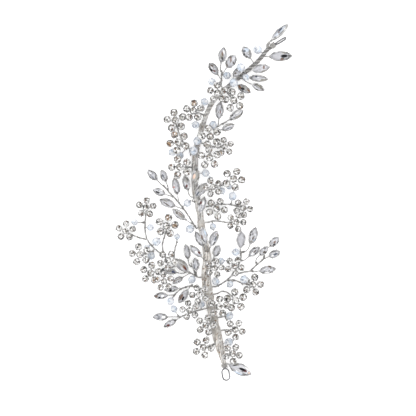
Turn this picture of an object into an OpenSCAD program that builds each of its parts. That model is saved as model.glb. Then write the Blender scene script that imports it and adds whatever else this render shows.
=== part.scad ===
// Bridal hair vine, laid flat: a wire-wound stem with a pin loop at each end, and twisted
// side wires that carry navette leaves in claw settings, soldered flowers of round cups and
// drilled crystal beads. It lies on the XY plane, with its length along Y and its face up.

/* [Vine] */
// Length of the vine, from the lower pin loop to the top leaf
vine_length = 197; // [180:1:230]
// Width across the widest side wires
vine_width = 98; // [90:0.5:115]

/* [Stem and wires] */
// Thickness of the wound stem where it is fullest
stem_d = 5.2; // [4.4:0.1:6]
// Thickness of a twisted side wire
spray_d = 1.0; // [0.8:0.05:1.2]
// Thickness of the finer wire that holds one leaf, flower or bead
twig_d = 0.7; // [0.5:0.05:0.8]

/* [Leaves] */
// Length of the longest regular leaf setting
leaf_length = 13.8; // [12:0.1:15]
// Width of that setting
leaf_width = 5.8; // [5:0.1:6.4]
// Height of a leaf setting
leaf_height = 2.3; // [2:0.1:3]
// Wall of a leaf setting
leaf_wall = 0.28; // [0.22:0.01:0.35]
// Height of a leaf stone above its girdle
leaf_crown = 0.75; // [0.5:0.05:1]
// Diameter of a claw
claw_d = 0.6; // [0.5:0.05:0.7]

/* [Flowers] */
// Diameter of a round cup
cup_d = 4.3; // [3.8:0.05:4.4]
// Height of a round cup
cup_height = 2.2; // [1.9:0.05:2.8]
// Wall of a round cup
cup_wall = 0.22; // [0.18:0.01:0.3]
// Distance from a flower's middle to the middle of a petal cup
petal_orbit = 4.6; // [4.5:0.05:5]
// Height of a round stone above its girdle
round_crown = 0.55; // [0.4:0.05:0.8]
// Smallest share of the full flower size that has its petal stones in this model
fine_share = 0.9; // [0.86:0.01:0.95]

/* [Beads] */
// Diameter of the largest regular bead
bead_d = 4.9; // [4.2:0.1:5.4]

/* [Pin loops] */
// Wire of a pin loop
loop_wire_d = 0.8; // [0.7:0.05:1]
// Clear width inside a pin loop
loop_inside_w = 3.1; // [2.6:0.1:3.6]
// Clear length inside a pin loop
loop_inside_l = 5.6; // [4.4:0.1:6.4]
// Thickness of the twisted neck that joins a pin loop to the stem
neck_d = 1.7; // [1.4:0.05:2]
// Thickness of the binding wire over a neck
binding_d = 0.6; // [0.5:0.05:0.7]

/* [Clearances] */
// Clearance between a stone and its setting
seat = 0.12; // [0.1:0.01:0.16]
// Clearance between a wire's end and what it holds
wire_gap = 0.25; // [0.2:0.01:0.35]
// Clearance between a piece and what it is laid on
lay_gap = 0.3; // [0.25:0.01:0.5]

/* [Hidden] */
// The layout chart: where each piece lies in the photograph, in its own pixels. The chart's
// extent stands for vine_length and vine_width, so each reading is a share of those two.
chart_left = 116;
chart_right = 293;
chart_top = 23.5;
chart_foot = 381.5;
mid_u = (chart_left + chart_right) / 2;
mid_v = (chart_top + chart_foot) / 2;
step_x = vine_width / (chart_right - chart_left);
step_y = vine_length / (chart_foot - chart_top);

// Stem, from foot to top: u, v, thickness as a share of stem_d.
STEM = [
    [223.9, 365.1, 0.42], [222.8, 359.5, 0.6], [221, 352, 0.88], [218.2, 341, 1],
    [216, 331, 0.96], [213.5, 320, 0.95], [211.5, 309, 0.95], [209, 297, 1],
    [206.8, 285, 1], [206, 273, 0.95], [207.3, 262, 0.9], [206.3, 251, 0.84],
    [204, 239, 0.76], [201.5, 227, 0.72], [200, 214, 0.7], [197.5, 201, 0.7],
    [195, 188, 0.7], [194.8, 175, 0.72], [194.8, 163, 0.72], [196, 151, 0.66],
    [199.5, 136, 0.6], [204, 121, 0.58], [209.5, 107, 0.56], [217, 96, 0.54],
    [226.5, 87.5, 0.5], [238, 78, 0.48], [248, 69.5, 0.46], [257, 61.5, 0.44],
    [263, 54.5, 0.42], [267.3, 49, 0.4], [272.2, 45.6, 0.38],
];

// Side wires: node, whether it leaves the stem, and its route in u and v. A node with more
// than one row is a forked wire.
FROM_STEM = true;
FROM_FORK = false;
SPRAYS = [
    ["spray_top_left", FROM_STEM, [[222, 91], [221, 85], [221.5, 78], [221.8, 71]]],
    ["spray_high_left", FROM_STEM, [[196, 152], [190, 149], [184, 143], [180, 135], [177, 127]]],
    ["spray_high_right", FROM_STEM,
        [[202.5, 126], [209, 128.5], [216, 127], [222, 123.5], [227, 121.2]]],
    ["spray_upper_right", FROM_STEM, [[198.3, 141], [206, 144], [214, 146.5], [222, 147]]],
    ["spray_mid_right", FROM_STEM,
        [[195.3, 190.5], [204, 191], [212, 188.5], [220, 186], [227, 182.5], [232, 180]]],
    ["spray_waist_right", FROM_STEM,
        [[198.8, 208], [208, 206.5], [219, 204.5], [229, 204.5], [240, 207]]],
    ["spray_hip_right", FROM_STEM,
        [[201.5, 227], [208, 222.3], [213.5, 221], [220, 221.5], [227, 222.5], [234, 222]]],
    ["spray_low_right", FROM_STEM,
        [[208, 291], [217, 286.5], [224, 282.5], [230, 277.5], [235, 271], [239, 264], [241, 257],
         [241, 252.5]]],
    ["spray_low_right", FROM_FORK, [[231, 276.6], [238, 274], [245, 272.3], [253.4, 271]]],
    ["spray_low_right", FROM_FORK, [[250, 271.3], [254, 267.5], [259, 263.2], [263.7, 259.3]]],
    ["spray_low_right", FROM_FORK, [[226, 281], [234, 280.5], [241, 283], [248, 285]]],
    ["spray_foot_right", FROM_STEM, [[209.4, 299], [217, 294], [223, 291.5], [229, 294], [234, 299]]],
    ["spray_leg_right", FROM_STEM, [[216, 331], [224, 330.6], [229, 330.2], [233.5, 330]]],
    ["spray_leg_right", FROM_STEM, [[213.3, 319], [221, 317.5], [226, 316.5]]],
    ["spray_mid_left", FROM_STEM,
        [[203, 234], [196, 228], [190.5, 219], [184.5, 210], [177.5, 201], [170, 193], [164, 186]]],
    ["spray_low_left", FROM_STEM,
        [[206.6, 284], [198, 277.5], [190, 273], [182, 270.5], [173, 263.5], [164, 256], [155, 249],
         [148, 241], [145.3, 232], [145.3, 222], [146.2, 211]]],
    ["spray_low_left", FROM_FORK, [[147, 239.5], [140, 238], [133, 235.2], [127.5, 232.2]]],
    ["spray_low_left", FROM_FORK, [[164.5, 256.4], [162.5, 246], [164.5, 237], [166.7, 229.5]]],
    ["spray_low_left", FROM_FORK, [[174, 264.3], [174.5, 252], [177, 242]]],
    ["spray_low_left", FROM_FORK, [[197, 276.8], [194, 270], [191, 263]]],
    ["spray_low_left", FROM_FORK, [[155, 249], [150, 253], [144.5, 254.5]]],
    ["spray_low_left", FROM_FORK, [[176, 266], [167, 269.5], [158, 272], [152, 272.5]]],
    ["spray_hip_left", FROM_STEM,
        [[208.2, 294], [199, 289], [190.5, 286.5], [183, 288.5], [177, 292.5], [173, 297.5]]],
    ["spray_foot_left", FROM_STEM, [[212, 311.5], [201, 310], [193, 312.5], [186, 315.5], [179, 317.5]]],
];

// Columns that every table of laid pieces shares. LAYER is the order of laying: 0 rests on
// the floor, and each later layer lies over what it covers in plan.
U = 0;
V = 1;
SIZE = 2;
LAYER = 3;
TURN = 4;

// Leaves. SIZE and WIDE are shares of leaf_length and leaf_width, TURN runs from wire to tip,
// PITCH lifts the tip, ROLL turns the leaf about its length, and STONE names its stone's node.
WIDE = 5;
PITCH = 6;
ROLL = 7;
STONE = 8;
LEAVES = [
    // u, v, size, layer, turn, wide, pitch, roll, stone
    [279.5, 32, 0.94, 1, 43, 0.68, 6, -38, "leaf_stone_01"],
    [280.5, 55.5, 1, 0, 2, 1, 0, 0, "leaf_stone_02"],
    [222.5, 54.5, 0.68, 1, 80, 0.86, 6, 0, "leaf_stone_03"],
    [230.8, 61, 0.66, 2, 56, 0.95, 4, 8, "leaf_stone_04"],
    [213.5, 68, 0.62, 1, 125, 0.81, 8, -8, "leaf_stone_05"],
    [260.8, 68.3, 0.8, 2, 12, 0.86, 8, 0, "leaf_stone_06"],
    [258.5, 77.7, 0.84, 1, -5, 0.7, 0, 10, "leaf_stone_07"],
    [258, 86.5, 0.62, 0, -23, 0.66, 0, 12, "small_leaf_stones"],
    [244, 88.5, 0.64, 1, -30, 0.76, 4, 0, "leaf_stone_09"],
    [219.5, 110, 0.72, 1, 85, 0.86, 5, 0, "leaf_stone_10"],
    [236, 114.5, 0.72, 1, 35, 0.81, 0, 8, "leaf_stone_11"],
    [228, 126.7, 0.6, 1, 21, 0.7, 3, 10, "leaf_stone_12"],
    [240.9, 239.7, 0.72, 0, 87, 0.9, 0, 0, "leaf_stone_13"],
    [252.8, 235.9, 0.76, 1, 71, 0.86, 0, 6, "leaf_stone_14"],
    [254.2, 251.8, 0.6, 1, 42, 0.76, 5, -6, "leaf_stone_15"],
    [274, 242, 0.56, 0, 45, 0.76, 0, 0, "leaf_stone_16"],
    [263.5, 251, 0.52, 1, 47, 0.67, 4, 0, "small_leaf_stones"],
    [274.4, 254.2, 0.56, 0, 25, 0.76, 0, 0, "leaf_stone_17"],
    [213.9, 238.6, 0.72, 2, 67, 0.86, 5, 0, "leaf_stone_18"],
    [216.6, 250.8, 0.55, 1, 67, 0.76, 4, 6, "small_leaf_stones"],
    [267.4, 270.2, 0.72, 0, 8, 0.86, 0, 0, "leaf_stone_19"],
    [186.8, 252, 0.68, 1, 100, 0.66, 0, 12, "leaf_stone_20"],
    [195.8, 251.3, 0.72, 2, 135, 0.7, 5, 0, "leaf_stone_21"],
    [195.7, 264.4, 0.56, 1, 95, 0.76, 6, 0, "leaf_stone_22"],
    [181.4, 265.2, 0.8, 2, 140, 0.95, 6, 0, "leaf_stone_23"],
    [169, 271.5, 0.72, 1, 170, 0.66, 0, 12, "leaf_stone_24"],
    [171.5, 289.5, 0.62, 1, 187, 0.64, 0, 10, "leaf_stone_25"],
    [183.5, 296.5, 0.7, 1, 235, 0.78, 0, 0, "leaf_stone_26"],
    [161, 296.2, 0.62, 0, 184, 0.7, 0, 0, "leaf_stone_27"],
    [160.5, 317.3, 0.66, 0, 180, 0.78, 0, 0, "leaf_stone_28"],
    [170.3, 324, 0.64, 0, 210, 0.66, 0, 10, "leaf_stone_29"],
    [240.2, 370, 1.05, 0, -24, 1.14, 0, 0, "leaf_stone_30"],
    [167.5, 203, 0.72, 1, 158, 0.86, 0, 0, "leaf_stone_31"],
    [179.2, 214.2, 0.68, 1, 141, 0.7, 4, -26, "leaf_stone_32"],
    [152.4, 174.8, 0.6, 0, 133, 0.76, 0, 0, "leaf_stone_33"],
    [163.8, 175.6, 0.56, 1, 111, 0.72, 5, 0, "small_leaf_stones"],
    [176, 186, 0.8, 1, 100, 0.78, 4, 0, "leaf_stone_34"],
    [186.3, 182.9, 0.68, 1, 103, 0.76, 4, 0, "leaf_stone_35"],
    [159.3, 191.8, 0.56, 1, 159, 0.76, 0, 0, "small_leaf_stones"],
    [200.9, 189.9, 0.76, 1, 50, 0.9, 0, 0, "leaf_stone_36"],
    [202.1, 204.7, 0.72, 1, 75, 0.78, 3, 0, "leaf_stone_37"],
    [195.7, 175.6, 0.67, 1, 85, 0.81, 3, 0, "leaf_stone_08"],
    [199.2, 239, 0.7, 1, 117, 0.7, 3, 0, "small_leaf_stones"],
    [203.8, 235.2, 0.74, 2, 103, 0.76, 8, 0, "small_leaf_stones"],
    [246.6, 51.9, 0.6, 1, 124, 0.86, 6, 0, "small_leaf_stones"],
    [236.9, 71.9, 0.5, 1, 55, 0.7, 4, 0, "small_leaf_stones"],
    [178, 280.6, 0.52, 1, 211, 0.6, 0, 12, "small_leaf_stones"],
];

// Flowers. SIZE is a share of cup_d and petal_orbit, TURN is the angle of the first petal,
// TILT leans the flower towards LEAN.
TILT = 5;
LEAN = 6;
FLOWERS = [
    // u, v, size, layer, turn, tilt, lean
    [233.5, 99.9, 1, 1, 30, 6, 300],
    [175.5, 120.5, 1, 1, 28, 8, 120],
    [194, 111, 0.95, 1, 18, 24, 150],
    [178.5, 142, 1, 2, 45, 6, 200],
    [180.3, 167, 1, 1, 36, 6, 180],
    [210, 136.5, 1, 2, 33, 6, 30],
    [224.5, 146.5, 0.82, 1, 26, 5, 0],
    [209.3, 157.5, 1, 1, 21, 5, 340],
    [217.5, 92.5, 0.9, 3, 20, 14, 220],
    [233.2, 179.1, 1, 1, 67, 6, 20],
    [212.5, 187.5, 0.85, 3, 35, 12, 60],
    [216.5, 208.5, 0.95, 1, 63, 6, 300],
    [242.8, 207.8, 0.86, 1, 61, 6, 0],
    [236, 222, 0.86, 2, 69, 6, 330],
    [234.5, 266.5, 0.86, 1, 61, 6, 160],
    [252.5, 285, 0.95, 1, 3, 6, 330],
    [235.3, 300.5, 1, 1, 23, 6, 330],
    [218.6, 306.8, 0.92, 2, 12, 10, 20],
    [234.8, 330, 0.9, 1, 58, 8, 40],
    [232, 354, 0.9, 1, 60, 18, 20],
    [203.3, 347.6, 0.95, 1, 67, 6, 210],
    [206, 325.2, 0.9, 1, 3, 8, 210],
    [146.3, 207.8, 0.88, 1, 13, 6, 120],
    [126, 231, 0.88, 1, 14, 6, 180],
    [167, 226, 1, 1, 6, 6, 150],
    [140.5, 254.5, 0.95, 1, 29, 8, 200],
    [167.6, 260.6, 0.9, 2, 58, 6, 90],
    [151.1, 273.1, 0.95, 1, 10, 6, 230],
    [164.4, 281.2, 0.85, 2, 24, 8, 250],
    [189.8, 310.4, 0.86, 1, 30, 8, 220],
    [199.6, 294.4, 0.86, 2, 40, 8, 200],
    [214.4, 268, 0.84, 1, 5, 8, 340],
];

// Beads. SIZE is a share of bead_d.
BEADS = [
    // u, v, size, layer
    [257.5, 49, 1.04, 1], [240.8, 67.3, 1, 2], [245.8, 76.8, 0.8, 1], [233.5, 82.4, 1, 1],
    [227, 75, 0.9, 1], [212, 81.5, 0.9, 1], [204.5, 101.5, 0.9, 1],
    [195.6, 124.6, 0.9, 1], [213, 124.5, 0.9, 1], [172.5, 152, 0.88, 1], [180, 155.5, 0.88, 1],
    [197.7, 140.7, 1, 1], [193.7, 150.6, 1, 1], [205.6, 173, 0.9, 1], [210.5, 179.5, 0.72, 1],
    [222, 190.8, 0.8, 1], [228.7, 186.5, 0.7, 1], [232.5, 196.2, 1, 1], [187.4, 203, 0.9, 1],
    [190, 229, 1, 1], [134.9, 222.2, 0.75, 1], [150.5, 227.6, 0.8, 1], [156.6, 241.7, 1, 1],
    [177.2, 237, 0.7, 1], [147.1, 247.6, 0.7, 1], [151.5, 256, 0.88, 1], [213, 226.7, 0.8, 1],
    [235.7, 252.3, 0.9, 1], [221.2, 261, 0.8, 1], [230, 284.5, 0.8, 1], [243.8, 279.5, 0.92, 2],
    [215.8, 281.7, 0.9, 1], [192, 279.8, 0.9, 1], [170.8, 301.5, 0.88, 0], [174, 309.4, 0.84, 0],
    [229.7, 316.3, 0.9, 1], [228.9, 342.5, 1, 1], [201.7, 304.6, 0.8, 1],
];

TABLES = [LEAVES, FLOWERS, BEADS];
LEAF = 0;
FLOWER = 1;
BEAD = 2;
top_layer = 3;

// Leaves: the girdle lies below the rim, the claws stand at a share of the length.
leaf_girdle_drop = 0.3;
leaf_floor = 0.4;
leaf_pavilion = leaf_height - leaf_girdle_drop - leaf_floor - 0.25;
leaf_table = [0.66, 0.52];
claw_share = 0.27;
claw_foot = 0.5;
lug_d = claw_d + 0.3;
lug_out = 0.2 * lug_d;
leaf_lead = 3;

// Flowers: struts behind the cups, the middle cup raised.
cup_girdle_drop = 0.35;
cup_floor = 0.45;
round_table = [0.58, 0.58];
plate_drop = 0.1;
middle_rise = 0.6;
strut_w = 1.1;
petals = 5;
flower_lead = 1.5;

side_gap = 0.25;
spray_gap = 0.5;
bore_gap = 0.16;
bead_lead = 0.5;
bead_tail = 0.3;
upper_loop_roll = 74;
neck_l = 2.4;
binding_turns = 3;
binding_steps = 10;
binding_past = 0.6;
binding_gap = 0.2;
twig_sides = 5;
spray_sides = 6;
stem_sides = 8;
deck = spray_d + lay_gap;

// Chart reading to a point of the plan.
function place(u, v) = [(u - mid_u) * step_x, (mid_v - v) * step_y];
function plan(p) = [p.x, p.y];
function unit(v) = v / norm(v);
function mix(a, b, t) = a + (b - a) * t;
function first_min(list) = let (m = min(list)) [for (i = [0:len(list) - 1]) if (list[i] == m) i][0];

// A smooth curve through points, with n steps between two of them.
function between(a, b, c, d, t) =
    (2 * b + (c - a) * t + (2 * a - 5 * b + 4 * c - d) * t * t + (3 * b - a - 3 * c + d) * t * t * t) / 2;
function smooth(p, n) = let (last = len(p) - 1) [
    for (i = [0:last - 1]) for (k = [0:n - 1])
        between(p[max(i - 1, 0)], p[i], p[i + 1], p[min(i + 2, last)], k / n),
    p[last],
];
function bezier(a, b, c, d, t) =
    mix(mix(mix(a, b, t), mix(b, c, t), t), mix(mix(b, c, t), mix(c, d, t), t), t);

// The point of a route, with its own radius, that is nearest to a point of the plan.
function on_segment(a, b, p) =
    let (run = plan(b) - plan(a), share = ((plan(p) - plan(a)) * run) / (run * run))
    mix(a, b, min(1, max(0, share)));
function distance_in_plan(a, b) = norm(plan(a) - plan(b));
function nearest(route, p) =
    let (feet = [for (i = [0:len(route) - 2]) on_segment(route[i], route[i + 1], p)])
    feet[first_min([for (f = feet) distance_in_plan(f, p)])];

// Routes of the stem and the side wires: x, y, z, radius.
STEM_ROUTE = smooth([for (s = STEM) [each place(s[0], s[1]), stem_d / 2, s[2] * stem_d / 2]], 2);
function spray_start(a, b) =
    let (foot = nearest(STEM_ROUTE, b), share = (foot[3] + spray_gap) / distance_in_plan(foot, b))
    [each mix(a, b, share), (stem_d - foot[3]) / 2, spray_d / 2];
function spray_points(from_stem, reads) =
    let (p = [for (r = reads) place(r[0], r[1])])
    [
        for (i = [0:len(p) - 1])
            from_stem && i == 0 ? spray_start(p[0], p[1]) : [each p[i], spray_d / 2, spray_d / 2],
    ];
function above_floor(route) = [for (q = route) [q.x, q.y, max(q.z, q[3]), q[3]]];
ROUTES = [STEM_ROUTE, for (row = SPRAYS) above_floor(smooth(spray_points(row[1], row[2]), 2))];
ROUTE_NODES = ["stem", for (row = SPRAYS) row[0]];
function carrier(p) = first_min([for (r = ROUTES) distance_in_plan(nearest(r, p), p)]);

// The navette outline: two arcs that meet in a point at each end.
function arc_radius(long, wide) = (long * long + wide * wide) / (4 * wide);
function arc_offset(long, wide) = arc_radius(long, wide) - wide / 2;
function half_width(x, long, wide) =
    sqrt(pow(arc_radius(long, wide), 2) - x * x) - arc_offset(long, wide);
function leaf_long(row) = row[SIZE] * leaf_length;
function leaf_wide(row) = row[WIDE] * leaf_width;

// What a piece covers in plan, as circles: x, y, radius.
function leaf_discs(row) =
    let (c = place(row[U], row[V]), long = leaf_long(row), along = [cos(row[TURN]), sin(row[TURN])])
    [
        for (s = [-0.48, -0.4, -0.25, 0, 0.25, 0.4, 0.48])
            [each (c + along * (s * long)), half_width(s * long, long, leaf_wide(row)) + claw_d / 2],
    ];
function flower_discs(row) =
    let (c = place(row[U], row[V]), r = row[SIZE] * cup_d / 2)
    [
        [each c, r],
        for (k = [1:petals])
            let (a = row[TURN] + 360 * k / petals)
            [each (c + row[SIZE] * petal_orbit * [cos(a), sin(a)]), r],
    ];
function discs(kind, row) =
    kind == LEAF ? leaf_discs(row)
    : kind == FLOWER ? flower_discs(row)
    : [[each place(row[U], row[V]), row[SIZE] * bead_d / 2]];
function reach(kind, row) =
    kind == LEAF ? leaf_long(row) / 2 + claw_d
    : kind == FLOWER ? row[SIZE] * (petal_orbit + cup_d / 2)
    : row[SIZE] * bead_d / 2;

// How far a piece stands below and above its own middle.
function lift(kind, row) =
    kind == LEAF ? leaf_long(row) / 2 * sin(abs(row[PITCH])) + leaf_wide(row) / 2 * sin(abs(row[ROLL]))
    : kind == FLOWER ? reach(kind, row) * sin(row[TILT])
    : 0;
function below(kind, row) =
    lift(kind, row) + (kind == LEAF ? leaf_height / 2
        : kind == FLOWER ? row[SIZE] * cup_height / 2 + plate_drop
        : row[SIZE] * bead_d / 2);
function above(kind, row) =
    lift(kind, row) + (kind == LEAF ? leaf_height / 2 - leaf_girdle_drop + leaf_crown
        : kind == FLOWER ? row[SIZE] * (cup_height / 2 - cup_girdle_drop + round_crown) + middle_rise
        : row[SIZE] * bead_d / 2);

// Laying the pieces one after another: each comes to lie on the floor, on the wires, on the
// stem, or on the highest piece that it covers.
function on_stem(d) =
    let (foot = nearest(STEM_ROUTE, d))
    distance_in_plan(foot, d) < d[2] + foot[3] + side_gap ? stem_d / 2 + foot[3] + lay_gap : 0;
function stem_top(kind, row, ds) =
    distance_in_plan(nearest(STEM_ROUTE, ds[0]), ds[0]) > 2 * reach(kind, row) + stem_d / 2 ? 0
    : max([for (d = ds) on_stem(d)]);
function covers(a, b) =
    len([for (p = a) for (q = b) if (distance_in_plan(p, q) < p[2] + q[2] + side_gap) 1]) > 0;
function bed(kind, row, ds, laid) = max([
    row[LAYER] == 0 ? 0 : deck,
    stem_top(kind, row, ds),
    for (l = laid)
        if (distance_in_plan(ds[0], l[3][0]) < 2 * (reach(kind, row) + reach(l[0], TABLES[l[0]][l[1]]))
            && covers(ds, l[3])) l[2] + above(l[0], TABLES[l[0]][l[1]]) + lay_gap,
]);
function lay(kind, i, laid) =
    let (row = TABLES[kind][i], ds = discs(kind, row))
    [kind, i, bed(kind, row, ds, laid) + below(kind, row), ds];
ORDER = [
    for (layer = [0:top_layer]) for (kind = [LEAF, BEAD, FLOWER]) for (i = [0:len(TABLES[kind]) - 1])
        if (TABLES[kind][i][LAYER] == layer) [kind, i],
];
function lay_all(k, laid) =
    k == len(ORDER) ? laid : lay_all(k + 1, [each laid, lay(ORDER[k][0], ORDER[k][1], laid)]);
LAID = lay_all(0, []);
function height(kind, i) = [for (l = LAID) if (l[0] == kind && l[1] == i) l[2]][0];
HEIGHTS = [for (kind = [LEAF, FLOWER, BEAD]) [for (i = [0:len(TABLES[kind]) - 1]) height(kind, i)]];
function middle(kind, i) = [each place(TABLES[kind][i][U], TABLES[kind][i][V]), HEIGHTS[kind][i]];

// The wire of one piece: from its carrier's route to the piece's own foot.
function leaf_axis(row) =
    [cos(row[TURN]) * cos(row[PITCH]), sin(row[TURN]) * cos(row[PITCH]), sin(row[PITCH])];
function leaf_foot(i) =
    middle(LEAF, i) - leaf_axis(LEAVES[i]) * (leaf_long(LEAVES[i]) / 2 + lug_out + lug_d / 2 + wire_gap);
function flower_axis(row) =
    [sin(row[TILT]) * cos(row[LEAN]), sin(row[TILT]) * sin(row[LEAN]), cos(row[TILT])];
function flower_foot(i) =
    let (depth = FLOWERS[i][SIZE] * cup_height / 2 + plate_drop + wire_gap)
    middle(FLOWER, i) - flower_axis(FLOWERS[i]) * depth;
function foot(kind, i) = kind == LEAF ? leaf_foot(i) : kind == FLOWER ? flower_foot(i) : middle(BEAD, i);
function past_start(k) = [for (i = [k == 0 ? 0 : 2:len(ROUTES[k]) - 1]) ROUTES[k][i]];
function root(kind, i, p) = let (r = nearest(past_start(CARRIERS[kind][i]), p)) [r.x, r.y, r.z];
CARRIERS = [
    for (kind = [LEAF, FLOWER, BEAD]) [for (i = [0:len(TABLES[kind]) - 1]) carrier(foot(kind, i))],
];
function leaf_twig(i) =
    let (end = leaf_foot(i), back = end - leaf_axis(LEAVES[i]) * leaf_lead, from = root(LEAF, i, back),
         bend = [each mix(plan(from), plan(back), 0.6), from.z])
    [for (t = [0, 0.4, 0.75, 1]) bezier(from, bend, back, end, t)];
function flower_twig(i) =
    let (end = flower_foot(i), from = root(FLOWER, i, end), corner = [end.x, end.y, from.z],
         back = mix(end - flower_axis(FLOWERS[i]) * flower_lead, corner, 0.4))
    [for (t = [0, 0.35, 0.7, 1]) bezier(from, corner, back, end, t)];
function bead_bore(i) =
    let (c = middle(BEAD, i), run = plan(c) - plan(root(BEAD, i, c)))
    norm(run) > BEADS[i][SIZE] * bead_d / 2 ? [each unit(run), 0] : [cos(60), sin(60), 0];
function bead_twig(i) =
    let (c = middle(BEAD, i), along = bead_bore(i), r = BEADS[i][SIZE] * bead_d / 2,
         in = c - along * (r + bead_lead), from = root(BEAD, i, in - along),
         bend = [each mix(plan(from), plan(in), 0.5), from.z])
    [
        for (t = [0, 0.5, 1]) bezier(from, bend, in - along, in, t),
        c + along * (r + bead_tail),
    ];
function twig(kind, i) = kind == LEAF ? leaf_twig(i) : kind == FLOWER ? flower_twig(i) : bead_twig(i);

// A tube along a path: points are x, y, z, and radii has one value for each of them.
function tangents(p) =
    let (last = len(p) - 1) [for (i = [0:last]) unit(p[min(i + 1, last)] - p[max(i - 1, 0)])];
function square_to(n, t) = unit(n - (n * t) * t);
function sections(t) = [
    for (i = 0, n = square_to(abs(t[0].z) > 0.9 ? [1, 0, 0] : [0, 0, 1], t[0]); i < len(t);
         i = i + 1, n = i < len(t) ? square_to(n, t[i]) : n)
        [n, cross(t[i], n)],
];
module tube(p, radii, sides) {
    frames = sections(tangents(p));
    last = len(p) - 1;
    polyhedron(
        points = [
            for (i = [0:last]) for (k = [0:sides - 1])
                let (a = 360 * k / sides)
                p[i] + radii[i] * (cos(a) * frames[i][0] + sin(a) * frames[i][1]),
        ],
        faces = [
            [for (k = [0:sides - 1]) k],
            [for (k = [sides - 1:-1:0]) last * sides + k],
            for (i = [0:last - 1]) for (k = [0:sides - 1])
                let (a = i * sides + k, b = i * sides + (k + 1) % sides)
                each [[a, a + sides, b + sides], [a, b + sides, b]],
        ],
        convexity = 6
    );
}
module route_tube(route, sides) {
    tube([for (q = route) [q.x, q.y, q.z]], [for (q = route) q[3]], sides);
}
module twigs(carrier_node) {
    for (kind = [LEAF, FLOWER, BEAD])
        for (i = [0:len(TABLES[kind]) - 1])
            if (ROUTE_NODES[CARRIERS[kind][i]] == carrier_node)
                tube(twig(kind, i), [for (k = [0:3]) twig_d / 2], twig_sides);
}

module stem() {
    color("silver") {
        route_tube(STEM_ROUTE, stem_sides);
        twigs("stem");
    }
}

module spray(name) {
    color("silver") {
        for (k = [1:len(ROUTES) - 1])
            if (ROUTE_NODES[k] == name)
                route_tube(ROUTES[k], spray_sides);
        twigs(name);
    }
}

// A faceted stone: its outline at the girdle, a smaller table, and a point below.
module stone(outline, table, crown, pavilion) {
    n = len(outline);
    polyhedron(
        points = [
            for (p = outline) [p.x * table.x, p.y * table.y, crown],
            for (p = outline) [p.x, p.y, 0],
            [0, 0, -pavilion],
        ],
        faces = [
            [for (k = [n - 1:-1:0]) k],
            for (k = [0:n - 1])
                let (m = (k + 1) % n)
                each [[k, m, n + m], [k, n + m, n + k], [n + k, n + m, 2 * n]],
        ]
    );
}
function navette(long, wide, steps) =
    let (r = arc_radius(long, wide), o = arc_offset(long, wide), spread = asin(long / 2 / r))
    [
        for (side = [1, -1]) for (k = [0:steps - 1])
            let (a = 180 - side * 90 - spread + 2 * spread * k / steps)
            [r * cos(a), r * sin(a) - side * o],
    ];

// The plan of a navette, in by an even margin.
module navette_plan(long, wide, margin) {
    r = arc_radius(long, wide) - margin;
    o = arc_offset(long, wide);
    intersection() {
        translate([0, -o]) circle(r, $fn = 96);
        translate([0, o]) circle(r, $fn = 96);
    }
}
function inner_long(long, wide, margin) =
    2 * sqrt(pow(arc_radius(long, wide) - margin, 2) - pow(arc_offset(long, wide), 2));

module laid_leaf(i) {
    translate(middle(LEAF, i))
        rotate([LEAVES[i][ROLL], -LEAVES[i][PITCH], LEAVES[i][TURN]])
            translate([0, 0, -leaf_height / 2]) children();
}

// A leaf setting: a walled navette tray with four claws and a lug at its wire end.
module leaf_setting(row) {
    long = leaf_long(row);
    wide = leaf_wide(row);
    claw_x = claw_share * long;
    claw_y = half_width(claw_x, long, wide) - leaf_wall + claw_d / 2;
    difference() {
        linear_extrude(leaf_height) navette_plan(long, wide, 0);
        translate([0, 0, leaf_floor]) linear_extrude(leaf_height) navette_plan(long, wide, leaf_wall);
    }
    for (x = [-claw_x, claw_x], y = [-claw_y, claw_y])
        translate([x, y, claw_foot]) cylinder(d = claw_d, h = leaf_height, $fn = 24);
    translate([-long / 2 - lug_out, 0, claw_foot])
        cylinder(d = lug_d, h = leaf_height - 2 * claw_foot, $fn = 24);
}

module leaf_stone(i) {
    long = leaf_long(LEAVES[i]);
    wide = leaf_wide(LEAVES[i]);
    margin = leaf_wall + seat;
    outline = navette(inner_long(long, wide, margin), wide - 2 * margin, 6);
    color("lightsteelblue") laid_leaf(i) translate([0, 0, leaf_height - leaf_girdle_drop])
        stone(outline, leaf_table, leaf_crown, leaf_pavilion);
}

module leaf_settings() {
    color("silver") for (i = [0:len(LEAVES) - 1]) laid_leaf(i) leaf_setting(LEAVES[i]);
}

module leaf_stones(name) {
    for (i = [0:len(LEAVES) - 1]) if (LEAVES[i][STONE] == name) leaf_stone(i);
}

module laid_flower(i) {
    row = FLOWERS[i];
    translate(middle(FLOWER, i))
        rotate([0, 0, row[LEAN]]) rotate([0, row[TILT], 0]) rotate([0, 0, row[TURN] - row[LEAN]])
            translate([0, 0, -row[SIZE] * cup_height / 2]) children();
}

// The places of a flower's petals.
module at_petals(row) {
    for (k = [1:petals])
        rotate(360 * k / petals) translate([row[SIZE] * petal_orbit, 0, 0]) children();
}

module cup(size, foot_h) {
    h = size * cup_height;
    difference() {
        translate([0, 0, -foot_h]) cylinder(d = size * cup_d, h = h + foot_h, $fn = 32);
        translate([0, 0, cup_floor]) cylinder(d = size * cup_d - 2 * cup_wall, h = h, $fn = 32);
    }
}

// A flower setting: the cups, soldered to struts behind them.
module flower_setting(row) {
    at_petals(row) cup(row[SIZE], 0);
    translate([0, 0, middle_rise]) cup(row[SIZE], middle_rise);
    for (k = [1:petals])
        rotate(360 * k / petals)
            translate([0, -strut_w / 2, -plate_drop])
                cube([row[SIZE] * petal_orbit, strut_w, cup_floor]);
}

module round_stone(size) {
    r = size * cup_d / 2 - cup_wall - seat;
    translate([0, 0, size * cup_height - cup_girdle_drop])
        stone([for (k = [0:7]) r * [cos(45 * k), sin(45 * k)]], round_table,
              size * round_crown, size * cup_height - cup_girdle_drop - cup_floor - 0.3);
}

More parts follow.
